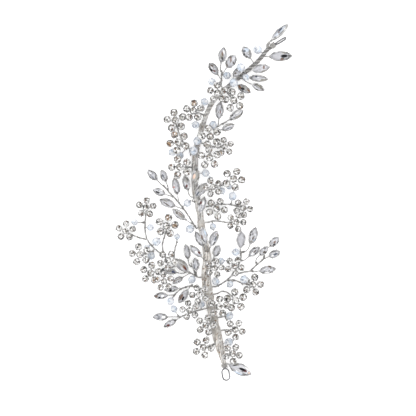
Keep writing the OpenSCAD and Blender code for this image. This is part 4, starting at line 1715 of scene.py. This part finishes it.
@dataclass
class Harness:
    """Every wire of the vine: the stem, the side wires, and the fine wire of each piece."""

    leaves: list[Leaf]
    flowers: list[Flower]
    beads: list[Bead]
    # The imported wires: thicknesses, gaps, the pin loops' necks and the bindings over them
    stem_d: float = 5.2
    spray_d: float = 1.0
    twig_d: float = 0.7
    spray_gap: float = 0.5
    neck_d: float = 1.7
    neck_l: float = 2.4
    binding_d: float = 0.6
    binding_gap: float = 0.2
    binding_between: float = 0.12
    binding_turns: int = 3
    binding_past: float = 0.6
    # Twisted wires, and how the fine ones bend towards their piece and end in it
    spray_twist: Twist = Twist(3, 0.46, 3.2)
    twig_twist: Twist = Twist(2, 0.35, 1.7, sides=5, steps=8)
    leaf_lead: float = 3.0
    leaf_bend: float = 0.6
    leaf_sink: float = 0.1
    flower_lead: float = 1.5
    flower_bend: float = 0.4
    flower_sink: float = 0.2
    lead_steps: int = 12
    inner_share: float = 0.45
    # Stem strands: how they turn, sway sideways, dive under one another and drift in tone
    stem_step: float = 0.9
    stem_seed: int = 5
    stem_strands: int = 15
    strand_turn: float = 70.0
    strand_fill: float = 0.98
    strand_tones: tuple[float, ...] = (0.05, 1.0, 0.5, 0.95)
    strand_drift: float = 0.45
    sway: float = 0.16
    sway_length: float = 5.3
    dive: float = 0.25
    dive_length: float = 7.1
    core_fill: float = 0.72
    # Upper stem, by the stem's radius: where it begins, the painted light around its join, its rope, its
    # dark top
    upper_from: float = 2.0
    join_light_spread: float = 16.0
    painted_join_light: float = 0.45
    rope_from: float = 1.62
    rope_fade: float = 0.2
    rope_light: float = 0.2
    rope_core: float = 0.7
    rope_d: float = 0.56
    rope_out: float = 0.32
    rope_pitch: float = 5.4
    rope_tones: tuple[float, ...] = (0.25, 1.4, 0.6, 1.15)
    dark_from: float = 1.42
    dark_fade: float = 0.14
    dark_most: float = 0.75
    # Side wires' tails along the stem: rows that they cover, lean in degrees, depth at the ends
    tail_twist: Twist = Twist(2, 0.36, 1.9, sides=6, steps=8)
    tail_rows: int = 14
    tail_more: int = 5
    tail_low: float = 62.0
    tail_climb: float = 50.0
    tail_out: float = 0.05
    tail_sink: float = 0.5
    tail_flat: float = 0.9
    # Fine wire wound on the stem, on each fine wire's root and on the necks of the leaves named
    wrap_d: float = 0.34
    wrap_out: float = 0.25
    wrap_open: float = 1.25
    wrap_close: float = 1.1
    hitch_d: float = 0.3
    hitch_out: float = 0.16
    hitch_pitch: float = 0.42
    wound: tuple[str, ...] = ("leaf_01",)
    wound_step: float = 0.3
    wound_at: tuple[float, ...] = (0.0, 0.35, 1.0)
    wound_r: tuple[float, ...] = (0.6, 0.65, 0.72)
    # Worked out from the readings, as rows of x, y, z and radius
    stem_rows: Points = field(init=False)
    stem: Points = field(init=False)
    routes: list[Points] = field(init=False)
    route_nodes: list[str] = field(init=False)

    def __post_init__(self) -> None:
        """Runs the stem and the side wires."""
        half = self.stem_d / 2
        readings = [(*CHART.place(u, v), half, share * self.stem_d / 2) for u, v, share in STEM_READINGS]
        self.stem_rows = np.array(readings)
        self.stem = smooth(self.stem_rows, 2)
        self.routes = [self.stem] + [self.side_route(start, reads) for _, start, reads in SIDE_WIRES]
        self.route_nodes = ["stem"] + [node for node, _, _ in SIDE_WIRES]

    def side_route(self, start: Start, reads: tuple[tuple[float, float], ...], steps: int = 2) -> Points:
        """Runs one side wire.

        Args:
            start: What it leaves.
            reads: Its readings of the chart.
            steps: Steps between two readings.

        Returns:
            Rows of x, y, z and radius.
        """
        r = self.spray_d / 2
        rows = [np.array([*CHART.place(u, v), r, r]) for u, v in reads]
        if start is Start.STEM:
            foot = self.nearest(self.stem, rows[1])
            away = np.linalg.norm(foot[:2] - rows[1][:2])
            plan = foot[:2] + (rows[1][:2] - foot[:2]) * (foot[3] + self.spray_gap) / away
            rows[0] = np.array([*plan, (self.stem_d - foot[3]) / 2, r])
        route = smooth(np.array(rows), steps)
        route[:, 2] = np.maximum(route[:, 2], r)
        return route

    @staticmethod
    def nearest(route: Points, point: Points) -> Points:
        """Finds the point of a route that is nearest in plan.

        Args:
            route: Rows of x, y, z and radius.
            point: A point, of which x and y count.

        Returns:
            The row of the route there.
        """
        a, b = route[:-1], route[1:]
        run = b[:, :2] - a[:, :2]
        share = ((point[:2] - a[:, :2]) * run).sum(1) / (run * run).sum(1)
        feet = a + (b - a) * np.clip(share, 0, 1)[:, None]
        return feet[np.linalg.norm(feet[:, :2] - point[:2], axis=1).argmin()]

    def carrier(self, point: Points) -> int:
        """Returns the number of the route that is nearest in plan."""
        gaps = [np.linalg.norm(self.nearest(r, point)[:2] - point[:2]) for r in self.routes]
        return int(np.argmin(gaps))

    def root(self, route: int, point: Points) -> Points:
        """Returns where a fine wire leaves its route, past the route's first bend."""
        rows = self.routes[route]
        return self.nearest(rows if route == 0 else rows[2:], point)[:3]

    def leaf_wire(self, leaf: Leaf) -> tuple[int, Points]:
        """Runs the fine wire of a leaf.

        Args:
            leaf: The leaf.

        Returns:
            The number of the wire that it leaves, and its middle line.
        """
        end = leaf.foot()
        back = end - leaf.axis() * self.leaf_lead
        route = self.carrier(end)
        start = self.root(route, back)
        bend = np.array([*(start[:2] + (back[:2] - start[:2]) * self.leaf_bend), start[2]])
        lead = bezier(start, bend, back, end, self.lead_steps)
        return route, np.vstack([lead, end + leaf.axis() * (leaf.wire_gap + self.leaf_sink)])

    def flower_wire(self, flower: Flower) -> tuple[int, Points]:
        """Runs the fine wire of a flower.

        Args:
            flower: The flower.

        Returns:
            The number of the wire that it leaves, and its middle line.
        """
        end = flower.foot()
        route = self.carrier(end)
        start = self.root(route, end)
        corner = np.array([end[0], end[1], start[2]])
        back = end - flower.axis() * self.flower_lead
        lead = bezier(start, corner, back + (corner - back) * self.flower_bend, end, self.lead_steps)
        return route, np.vstack([lead, end + flower.axis() * (flower.wire_gap + self.flower_sink)])

    def bead_wire(self, bead: Bead) -> tuple[int, Points]:
        """Runs the fine wire of a bead, through its bore.

        Args:
            bead: The bead.

        Returns:
            The number of the wire that it leaves, and its middle line.
        """
        middle = bead.place.origin
        route = self.carrier(middle)
        start = self.root(route, middle)
        along = bead.place.along
        if (middle - start)[:2] @ along[:2] < 0:
            along = -along
        inlet = middle - along * (bead.radius + bead.lead)
        start = self.root(route, inlet - along)
        bend = np.array([*((start[:2] + inlet[:2]) / 2), start[2]])
        lead = bezier(start, bend, inlet - along, inlet, self.lead_steps)
        return route, np.vstack([lead, middle + along * (bead.radius + bead.tail)])

    def wind_neck(self, draft: Draft, path: Points) -> None:
        """Winds a leaf's fine wire into a thick neck.

        Args:
            draft: The mesh that takes it.
            path: The fine wire's middle line.
        """
        neck = resampled(path, self.wound_step)[:-2]
        fat = np.interp(np.linspace(0, 1, len(neck)), self.wound_at, self.wound_r)
        draft.tube(neck, fat - self.wrap_d / 2, 12, tone=0.8)
        draft.wire(coil(neck, fat, self.wrap_d * self.wrap_close), self.wrap_d, 6, 1.0)

    def rope(self, draft: Draft, rows: Points) -> None:
        """Winds thick strands round the stem's slim upper part, which makes a rope of it.

        Args:
            draft: The mesh that takes them.
            rows: The upper stem's even rows of x, y, z and radius.
        """
        slim = rows[rows[:, 3] < self.rope_from]
        reach = slim[:, 3] * self.rope_core + self.rope_d * self.rope_out
        for k, tone in enumerate(self.rope_tones):
            wound = coil(slim, reach, self.rope_pitch, 16, math.tau * k / len(self.rope_tones))
            along = np.linspace(0, len(slim) - 1, len(wound))
            gloom = np.interp(along, np.arange(len(slim)), self.gloom(slim[:, 3]))
            draft.wire(wound, self.rope_d, 7, tone - gloom)

    def gloom(self, radii: Points) -> Points:
        """Returns how much darker the stem is at each radius: only near its slim top."""
        return self.dark_most * np.clip((self.dark_from - radii) / self.dark_fade, 0, 1)

    @staticmethod
    def row_near(rows: Points, where: Points) -> int:
        """Returns the number of the row that is nearest to a point."""
        return int(np.linalg.norm(rows[:, :3] - where[:3], axis=1).argmin())

    def tail(self, rows: Points, where: Points, steps: int) -> Points:
        """Runs the end of a side wire down along the stem's flank.

        Args:
            rows: The stem's even rows of x, y, z and radius.
            where: The stem's row where the side wire leaves it.
            steps: How many rows it runs along.

        Returns:
            The tail's middle line, its ends sunk into the stem.
        """
        near = self.row_near(rows, where)
        stretch = rows[max(near - steps, 0) : near + 1][::-1]
        ahead = np.gradient(stretch[:, :2], axis=0)
        flank = np.column_stack([-ahead[:, 1], ahead[:, 0], np.zeros(len(stretch))])
        flank /= np.linalg.norm(flank, axis=1)[:, None]
        t = np.linspace(0, 1, len(stretch))
        side = 1 if where[0] > 0 else -1
        lean = side * np.radians(self.tail_low - self.tail_climb * np.sin(math.pi * t))
        reach = stretch[:, 3] + self.tail_out - self.tail_sink * np.abs(2 * t - 1) ** 3
        out = np.sin(lean)[:, None] * flank + np.cos(lean)[:, None] * np.array([0, 0, self.tail_flat])
        return stretch[:, :3] + reach[:, None] * out

    def build_strands(self, rows: Points) -> Pieces:
        """Builds the stem's strands, and the rope that its slim upper part becomes.

        Args:
            rows: The stem's even rows of x, y, z and radius.

        Returns:
            The lower and the upper strands.
        """
        lower, upper = Draft(), Draft()
        radii = rows[:, 3]
        join = int(np.nonzero(radii >= self.upper_from)[0][-1])
        slim = np.clip((self.rope_from + self.rope_fade / 2 - radii) / self.rope_fade, 0, 1)
        gloom = self.gloom(radii)
        slim[:join] = 0
        gloom[:join] = 0
        core = 1 - (1 - self.rope_core) * slim
        run = self.stem_step * np.arange(len(rows))
        # Painted light: the strands are lightened around the join, where the crowded leaves and flowers
        # shade the stem.
        painted_light = self.painted_join_light * np.exp(-(((run - run[join]) / self.join_light_spread) ** 2))
        first, second = frames(rows[:, :3])
        strand_r = radii * core * math.pi / self.stem_strands * self.strand_fill
        dice = random.Random(self.stem_seed)
        for k in range(self.stem_strands):
            sway = dice.uniform(0, math.tau)
            a = math.tau * (k / self.stem_strands + run / self.strand_turn)
            a = a + self.sway * np.sin(run / self.sway_length + sway)
            dive = 1.0 + self.dive * np.sin(run / self.dive_length + 2 * sway)
            lay = radii * core - strand_r * dive
            path = rows[:, :3] + lay[:, None] * spun(a, first, second)
            path[:, 2] = np.maximum(path[:, 2], strand_r)
            knots = [dice.uniform(-self.strand_drift, self.strand_drift) for _ in run[::3]]
            drift = np.interp(run, run[::3], knots)
            base = self.strand_tones[k % len(self.strand_tones)]
            tones = base + drift + self.rope_light * slim + painted_light - gloom
            lower.tube(path[: join + 1], strand_r[: join + 1], 7, tone=tones[: join + 1])
            upper.tube(path[join:], strand_r[join:], 7, tone=tones[join:])
        # The core is dark: painted shade that shows in the gaps between the strands.
        upper.tube(rows[:, :3], radii * core * self.core_fill, 10, tone=0.1)
        self.rope(upper, rows[join:])
        return [
            lower.piece("stem_strands", STEM_WIRE, "stem_wire", "stem"),
            upper.piece("stem_upper_strands", UPPER_STEM_WIRE, "stem_wire", "stem"),
        ]

    def build_wraps(self, rows: Points) -> Pieces:
        """Builds the fine wire wound where side wires leave the stem, and their tails along it.

        Args:
            rows: The stem's even rows of x, y, z and radius.

        Returns:
            The wraps with the tails, as one piece.
        """
        wraps = Draft()
        leaving = [reads for _, start, reads in SIDE_WIRES if start is Start.STEM]
        places = [self.nearest(rows, self.side_route(Start.STEM, reads)[0]) for reads in leaving]
        for where in places:
            near = self.row_near(rows, where)
            stretch = rows[max(near - 2, 0) : near + 3]
            reach = float(where[3]) + self.wrap_d * self.wrap_out
            wound = coil(stretch[:, :3], reach, self.wrap_d * self.wrap_open, 20)
            wraps.wire(wound, self.wrap_d, 6, 0.6)
        for k, where in enumerate(places):
            tail = self.tail(rows, where, self.tail_rows + self.tail_more * (k % 3))
            self.tail_twist.along(wraps, tail, start=k, tone=0.6)
        return [wraps.piece("stem_wraps", STEM_WIRE, "stem_wire", "stem")]

    def build_side_wires(self) -> Pieces:
        """Builds the side wires and the fine wire of each leaf, flower and bead.

        Returns:
            One piece for each node, with the fine wires that leave its routes.
        """
        drafts: dict[str, Draft] = {}
        for k, (node, start, reads) in enumerate(SIDE_WIRES):
            fine = self.side_route(start, reads, 8)[:, :3]
            if start is Start.STEM:
                hold = self.nearest(self.stem, fine[0])
                inner = hold[:3] + (fine[0] - hold[:3]) * self.inner_share
                fine = np.vstack([inner, fine])
            draft = drafts.setdefault(node, Draft())
            self.spray_twist.along(draft, fine, start=k)
        runs = [(leaf.name, *self.leaf_wire(leaf)) for leaf in self.leaves]
        runs.extend((flower.name, *self.flower_wire(flower)) for flower in self.flowers)
        runs.extend((bead.name, *self.bead_wire(bead)) for bead in self.beads)
        for name, route, path in runs:
            draft = drafts.setdefault(self.route_nodes[route], Draft())
            self.twig_twist.along(draft, path, start=route)
            hitch = coil(path[:5], self.twig_d / 2 + self.hitch_out, self.hitch_pitch)
            draft.wire(hitch, self.hitch_d, 5, 0.35)
            if name in self.wound:
                self.wind_neck(draft, path)
        made = []
        for node, draft in drafts.items():
            name = "stem_fine_wires" if node == "stem" else f"{node}_wires"
            made.append(draft.piece(name, WIRE, "wire", node))
        return made

    def build_bindings(self) -> Pieces:
        """Winds the close coil over each end of the stem and its pin loop's neck.

        Returns:
            The two bindings, as one piece.
        """
        draft = Draft()
        pitch = self.binding_d + self.binding_between
        start = self.neck_l - self.binding_past - pitch * self.binding_turns
        for end, before in (self.stem_rows[:2], self.stem_rows[:-3:-1]):
            out = np.array([*(end[:2] - before[:2]), 0.0])
            at = place_of(end[:3], out, np.array([0, 0, 1.0]))
            reach = max(float(end[3]), self.neck_d / 2) + self.binding_gap + self.binding_d / 2
            run = np.linspace(0, self.binding_turns, self.binding_turns * 24 + 1)
            turn = math.tau * run
            path = np.column_stack([start + pitch * run, reach * np.cos(turn), reach * np.sin(turn)])
            draft.tube(at.out(path), self.binding_d / 2, 10, tone=1.0)
        return [draft.piece("end_bindings_wound", WIRE, "wire", "end_bindings")]

    def build(self) -> Pieces:
        """Builds and dresses every wire.

        Returns:
            The stem's pieces, the side wires and the bindings.
        """
        rows = resampled(smooth(self.stem_rows, 8), self.stem_step)
        made = self.build_strands(rows) + self.build_wraps(rows)
        return made + self.build_side_wires() + self.build_bindings()


# The whole vine


# Painted reflections that the leaves flash, the lowest first: accent, u, v, half length and half width
# in pixels, turn in degrees and share.
LEAF_PAINTED_REFLECTIONS = (
    (Accent.SKY, 281, 31, 9, 2.6, 43, 0.35),
    (Accent.SLATE, 280.2, 28.8, 2.6, 1.1, 48, 0.95),
    (Accent.UMBER, 278.6, 31.6, 1.4, 0.8, 48, 0.7),
    (Accent.SLATE, 282.4, 31.6, 5, 0.5, 46, 0.75),
    (Accent.SLATE, 276.6, 31.4, 3.4, 0.4, 46, 0.6),
    (Accent.SNOW, 279.6, 33.6, 5, 0.5, 46, 0.8),
    (Accent.MIST, 275, 55.5, 6.5, 4, 2, 0.85),
    (Accent.OLIVE, 283.6, 52.4, 2.2, 0.7, 0, 0.7),
    (Accent.UMBER, 281.7, 59, 1.7, 1.5, 0, 0.85),
    (Accent.INK, 284.2, 55.4, 3.6, 1.5, 3, 1),
    (Accent.NIGHT, 287, 59, 2.4, 1, 25, 0.85),
    (Accent.OLIVE, 221.8, 55.5, 1.8, 3.2, 0, 0.7),
    (Accent.UMBER, 222.4, 53, 0.8, 2.6, 10, 0.85),
    (Accent.INK, 222.2, 58, 1, 1.8, 10, 0.85),
    (Accent.SNOW, 224, 51.5, 0.8, 2, 10, 0.9),
    (Accent.SMOKE, 225.9, 65, 1.9, 2, 30, 0.95),
    (Accent.UMBER, 230.7, 59, 1, 3.2, 0, 0.8),
    (Accent.SMOKE, 233.3, 62.4, 0.9, 1.5, 20, 0.9),
    (Accent.SMOKE, 211.8, 65.2, 2, 0.9, -35, 0.95),
    (Accent.INK, 211.3, 69.3, 2, 0.9, -45, 0.95),
    (Accent.WINE, 214.2, 70.5, 1.5, 0.9, -45, 0.9),
    (Accent.MIST, 258, 68.5, 4, 3, 12, 0.5),
    (Accent.UMBER, 263.6, 66.9, 1, 1.9, 0, 0.9),
    (Accent.OLIVE, 264.5, 70.6, 3.5, 0.8, 15, 0.8),
    (Accent.SLATE, 256.1, 76, 1.1, 1.1, 0, 0.95),
    (Accent.OLIVE, 263, 79.6, 3.4, 0.8, 8, 0.85),
    (Accent.OLIVE, 259.3, 85.6, 4, 1.1, -30, 0.8),
    (Accent.SMOKE, 261.3, 88.2, 2, 0.7, -30, 0.85),
    (Accent.OLIVE, 246.5, 88, 5.5, 2.6, -28, 0.55),
    (Accent.RUST, 239.9, 86.6, 2.4, 1.1, -50, 0.95),
    (Accent.INK, 242.6, 88.3, 2, 1.3, -20, 0.95),
    (Accent.RUST, 249.2, 90.2, 2.2, 1.2, -40, 0.95),
    (Accent.SKY, 246.8, 49, 2.4, 2.2, 0, 0.6),
    (Accent.SLATE, 244.4, 50.6, 1.3, 1.2, 0, 0.85),
    (Accent.OLIVE, 249.4, 51.5, 0.8, 2.4, 0, 0.6),
    (Accent.SMOKE, 235.2, 73, 1.2, 1, 45, 0.95),
    (Accent.SMOKE, 237.2, 69.9, 1.3, 0.8, 60, 0.9),
    (Accent.WINE, 220.3, 111.8, 1.6, 0.6, 85, 0.85),
    (Accent.SNOW, 237.6, 111.6, 3.2, 1.1, 35, 0.9),
    (Accent.OLIVE, 237.7, 116.3, 4, 0.9, 35, 0.8),
    (Accent.OLIVE, 229, 124.9, 3.4, 0.6, 18, 0.85),
    (Accent.SLATE, 228.6, 128, 3, 0.6, 18, 0.7),
    (Accent.MIST, 240.9, 239.7, 7.5, 3.6, 87, 0.75),
    (Accent.SKY, 254.6, 240.8, 1.6, 1.2, 70, 0.8),
    (Accent.SMOKE, 253, 238.2, 1.8, 0.8, 75, 0.9),
    (Accent.OLIVE, 251, 241.5, 1.2, 0.8, 60, 0.8),
    (Accent.SNOW, 252.8, 253.3, 2.2, 0.8, 42, 0.9),
    (Accent.SMOKE, 254.6, 251.6, 2.2, 0.9, 50, 0.85),
    (Accent.SMOKE, 264, 252.1, 1.7, 1, 45, 0.95),
    (Accent.INK, 259.7, 255, 1.2, 1, 45, 0.95),
    (Accent.UMBER, 274.5, 242.3, 1.6, 1, 50, 0.9),
    (Accent.INK, 273.9, 244.6, 1.3, 0.8, 30, 0.95),
    (Accent.SMOKE, 269.9, 246.1, 1.2, 1.1, 45, 0.95),
    (Accent.SLATE, 275.2, 254.4, 2.3, 1, 25, 0.9),
    (Accent.SNOW, 272.4, 256, 1.5, 0.8, 25, 0.8),
    (Accent.UMBER, 269.7, 266.8, 2.1, 0.9, -4, 0.9),
    (Accent.SNOW, 266.5, 273, 2.4, 1, 8, 0.8),
    (Accent.SMOKE, 271.8, 272.3, 2.6, 0.7, 15, 0.85),
    (Accent.SKY, 205.2, 232.4, 3, 0.8, 110, 0.85),
    (Accent.UMBER, 201.8, 236.8, 2.2, 1.1, 110, 0.8),
    (Accent.INK, 203.7, 241.4, 1.8, 0.9, 110, 0.95),
    (Accent.OLIVE, 217.3, 236, 3.5, 0.9, 68, 0.75),
    (Accent.SLATE, 215.5, 238.6, 2.6, 0.8, 68, 0.85),
    (Accent.UMBER, 216.1, 234, 1, 0.7, 60, 0.7),
    (Accent.MIST, 216.6, 251, 4.5, 2.4, 67, 0.6),
    (Accent.OLIVE, 218, 252.5, 2, 0.5, 67, 0.6),
    (Accent.UMBER, 193.2, 245.8, 1.6, 1.3, 0, 0.85),
    (Accent.SNOW, 196.6, 252.2, 1.4, 1, 135, 0.9),
    (Accent.WINE, 199.3, 252.9, 2.1, 1, -38, 0.95),
    (Accent.SLATE, 200.6, 251, 2.4, 0.8, -38, 0.8),
    (Accent.OLIVE, 182, 264, 6, 3, 140, 0.5),
    (Accent.UMBER, 184.4, 267.6, 2.6, 1.4, -58, 0.95),
    (Accent.WINE, 185.6, 268.9, 2, 0.9, -58, 0.95),
    (Accent.SLATE, 194.7, 266.9, 0.7, 2.6, 0, 0.7),
    (Accent.OLIVE, 169.3, 271.2, 3.6, 1.2, -5, 0.8),
    (Accent.NIGHT, 173.4, 272.2, 1.8, 1.2, -30, 0.95),
    (Accent.UMBER, 174.3, 281.4, 1.4, 0.9, 35, 0.85),
    (Accent.OLIVE, 178.5, 279.3, 3, 0.7, 30, 0.7),
    (Accent.UMBER, 169.2, 290.2, 1.2, 0.9, 30, 0.8),
    (Accent.INK, 170.6, 290.3, 1.2, 1.4, -35, 1),
    (Accent.UMBER, 156.2, 296.8, 2, 1, 15, 0.9),
    (Accent.INK, 159.3, 298.2, 1.5, 0.9, 30, 1),
    (Accent.SNOW, 162.8, 296.2, 1.6, 1, 0, 0.9),
    (Accent.UMBER, 181.4, 297.2, 3.4, 1.3, 60, 0.9),
    (Accent.INK, 183, 298.8, 2.4, 0.9, 62, 1),
    (Accent.SLATE, 158.2, 316.2, 2.6, 0.7, -30, 0.7),
    (Accent.SLATE, 158.5, 319.2, 2.6, 0.6, 20, 0.7),
    (Accent.SNOW, 163.9, 317.6, 1.9, 1.3, 0, 0.95),
    (Accent.WINE, 168.2, 326, 1.9, 1.4, 25, 0.95),
    (Accent.INK, 165.2, 327, 1.2, 0.8, 20, 0.85),
    (Accent.SKY, 238, 374.4, 5, 1.3, -24, 0.85),
    (Accent.OLIVE, 235, 364.4, 4.2, 1.1, -22, 0.6),
    (Accent.SNOW, 247.3, 369.4, 3.2, 1.1, -40, 0.95),
    (Accent.WINE, 244.4, 371.2, 2.8, 1.4, -20, 0.95),
    (Accent.INK, 242.2, 370, 3.4, 1.3, -20, 1),
    (Accent.PEACH, 248.9, 373.6, 1, 0.9, 0, 0.9),
    (Accent.SMOKE, 247.8, 376, 2.4, 0.8, -5, 0.7),
    (Accent.SLATE, 152.8, 177.2, 1.8, 0.8, -50, 0.7),
    (Accent.SLATE, 163.3, 175.9, 2.2, 0.9, -70, 0.7),
    (Accent.SMOKE, 165.8, 180, 1, 0.8, -60, 0.9),
    (Accent.ROSE, 173.9, 187.1, 1.1, 0.9, 0, 0.9),
    (Accent.OLIVE, 174.2, 178.2, 1.6, 1.2, -80, 0.7),
    (Accent.INK, 157.6, 192.2, 2.2, 0.9, -28, 0.95),
    (Accent.SNOW, 162.4, 190.2, 1.8, 1.2, -20, 0.9),
    (Accent.SMOKE, 167, 204.4, 3.4, 0.7, -32, 0.9),
    (Accent.OLIVE, 165, 200.6, 3.2, 0.7, -25, 0.7),
    (Accent.SMOKE, 172.8, 209.3, 1.3, 1, 0, 0.9),
    (Accent.OLIVE, 179.5, 215, 5.5, 1.2, -40, 0.6),
    (Accent.UMBER, 181.4, 214.2, 3.4, 0.8, -38, 0.85),
    (Accent.SMOKE, 176.8, 213.2, 1.2, 0.9, -38, 0.9),
    (Accent.OLIVE, 186, 179.5, 3.4, 2.2, 100, 0.5),
    (Accent.WINE, 186.7, 186, 1.7, 1, 78, 0.95),
    (Accent.SNOW, 188.8, 186.4, 2, 0.8, 78, 0.9),
    (Accent.UMBER, 187.8, 190.4, 1, 0.7, 0, 0.8),
    (Accent.OLIVE, 196.6, 176.5, 6, 2.8, 85, 0.6),
    (Accent.PEACH, 194.2, 176.4, 2.6, 1.3, 75, 0.9),
    (Accent.UMBER, 192.8, 182, 1.6, 0.8, 45, 0.8),
    (Accent.OLIVE, 202, 188, 5, 2.2, 50, 0.55),
    (Accent.SLATE, 197.9, 193.5, 2.6, 0.8, 54, 0.9),
    (Accent.OLIVE, 202, 201, 4, 2.2, 75, 0.4),
    (Accent.WINE, 201, 202.8, 1.7, 0.9, 72, 0.95),
    (Accent.SNOW, 203.3, 203.2, 1.8, 0.8, 75, 0.9),
)

# Places of the round stones that look amber, as u and v of the chart.
AMBER_CUPS = (
    (170, 142), (176, 134), (194, 103), (174.7, 225), (168, 217), (221, 152), (156, 278), (236.5, 93),
)


@dataclass
class Vine:
    """The whole vine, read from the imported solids."""

    nodes: dict[str, bpy.types.Object]
    leaves: list[Leaf] = field(default_factory=list)
    flowers: list[Flower] = field(default_factory=list)
    beads: list[Bead] = field(default_factory=list)
    seed: int = 100

    def read(self) -> None:
        """Reads every leaf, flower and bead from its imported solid."""
        settings = loose_solids(self.nodes["leaf_settings"])
        for node in sorted(n for n in self.nodes if "leaf_stone" in n):
            for k, stone in enumerate(loose_solids(self.nodes[node])):
                small = node == "small_leaf_stones"
                name = f"small_leaf_{k + 1:02d}" if small else node.replace("_stone", "")
                self.leaves.append(Leaf.read(name, node, stone, settings))
        for reading in LEAF_PAINTED_REFLECTIONS:
            spot = Spot.charted(*reading)
            struck = min(self.leaves, key=lambda leaf: leaf.hit(spot))
            struck.spots = (*struck.spots, spot)
            if struck.hit(spot) > 1.0:
                log.info("a flash at %s lies past the edge of %s", reading[1:3], struck.name)
        amber = [CHART.place(u, v) for u, v in AMBER_CUPS]
        for k, solid in enumerate(loose_solids(self.nodes["flower_settings"])):
            flower = Flower.read(f"flower_{k + 1:02d}", solid)
            gaps = [[np.linalg.norm(cup.origin[:2] - a) for a in amber] for cup in flower.cups()]
            flower.amber = tuple(i for i, gap in enumerate(gaps) if min(gap) < flower.amber_reach)
            self.flowers.append(flower)
        for k, solid in enumerate(loose_solids(self.nodes["beads"])):
            self.beads.append(Bead.read(f"bead_{k + 1:02d}", solid))

    def build(self) -> None:
        """Builds every piece and reports it."""
        harness = Harness(self.leaves, self.flowers, self.beads)
        made = harness.build()
        for number, part in enumerate([*self.leaves, *self.flowers, *self.beads]):
            made.extend(part.build(random.Random(self.seed + number)))
        for piece in made:
            log.info("%s: %d faces", piece.name, len(piece.data.polygons))

    def dress_loops(self) -> None:
        """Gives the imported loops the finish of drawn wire."""
        for node in ("lower_pin_loop", "upper_pin_loop"):
            self.nodes[node].data.materials.clear()
            self.nodes[node].data.materials.append(LOOP_WIRE.material())
            log.info("%s: packed mesh, dressed", node)


# Studio


@dataclass(frozen=True)
class Studio:
    """A plain pale floor, soft light from all round and the camera straight above."""

    pixels: int = 416
    pixel_mm: float = 0.552
    look_u: float = 208.0
    look_v: float = 208.0
    distance: float = 3000.0
    reach: float = 20000.0
    sensor: float = 36.0
    plane: float = 5.0
    floor_size: float = 3000.0
    floor_drop: float = 0.1
    floor_glow: float = 0.5
    light: float = 1.5
    sky: tuple[tuple[float, float], ...] = ((0.0, 0.6), (0.22, 0.45), (0.5, 0.8), (0.8, 1.0))

    def camera(self) -> None:
        """Sets the camera straight above, with the photograph's frame."""
        data = bpy.data.cameras.new("overhead")
        data.sensor_width = self.sensor
        data.lens = self.sensor * self.distance / (self.pixels * self.pixel_mm)
        data.clip_end = self.reach * MM
        x, y = CHART.place(self.look_u, self.look_v)
        made = in_scene("overhead", data)
        made.location = Vector((x, y, self.plane + self.distance)) * MM
        bpy.context.scene.camera = made

    def floor(self) -> None:
        """Lays the pale floor under the vine."""
        half, z = self.floor_size / 2 * MM, -self.floor_drop * MM
        mesh = bpy.data.meshes.new("floor")
        corners = [(-half, -half, z), (half, -half, z), (half, half, z), (-half, half, z)]
        mesh.from_pydata(corners, [], [(0, 1, 2, 3)])
        n = Nodes("pale_floor")
        grain = n.ramp(n.noise(30.0), ((0.3, (0.93, 0.93, 0.93)), (0.7, (0.95, 0.95, 0.95))))
        n.surface(
            {
                "Base Color": grain,
                "Roughness": 0.9,
                "Specular IOR Level": 0.1,
                "Emission Color": (1, 1, 1, 1),
                "Emission Strength": self.floor_glow,
            }
        )
        mesh.materials.append(n.material)
        in_scene("floor", mesh)

    def room(self) -> None:
        """Fills the room with soft light, brightest overhead, and dimmer low down for the facets."""
        world = bpy.data.worlds.new("studio")
        world.use_nodes = True
        tree = world.node_tree
        where = tree.nodes.new("ShaderNodeTexCoord")
        split = tree.nodes.new("ShaderNodeSeparateXYZ")
        ramp = tree.nodes.new("ShaderNodeValToRGB")
        set_stops(ramp, tuple((at, (grey,) * 3) for at, grey in self.sky))
        tree.links.new(where.outputs["Generated"], split.inputs["Vector"])
        tree.links.new(split.outputs["Z"], ramp.inputs["Fac"])
        tree.links.new(ramp.outputs["Color"], tree.nodes["Background"].inputs["Color"])
        tree.nodes["Background"].inputs["Strength"].default_value = self.light
        bpy.context.scene.world = world
        bpy.context.scene.view_settings.view_transform = "Standard"

    def build(self) -> None:
        """Sets up the whole studio."""
        self.camera()
        self.floor()
        self.room()


def main() -> None:
    """Loads the frame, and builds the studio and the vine."""
    logging.basicConfig(level=logging.INFO, format="%(name)s %(message)s")
    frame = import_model()
    Studio().build()
    vine = Vine(frame["nodes"])
    vine.read()
    log.info("%d leaves, %d flowers, %d beads", len(vine.leaves), len(vine.flowers), len(vine.beads))
    vine.build()
    vine.dress_loops()
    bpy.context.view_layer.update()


if __name__ == "__main__":
    main()
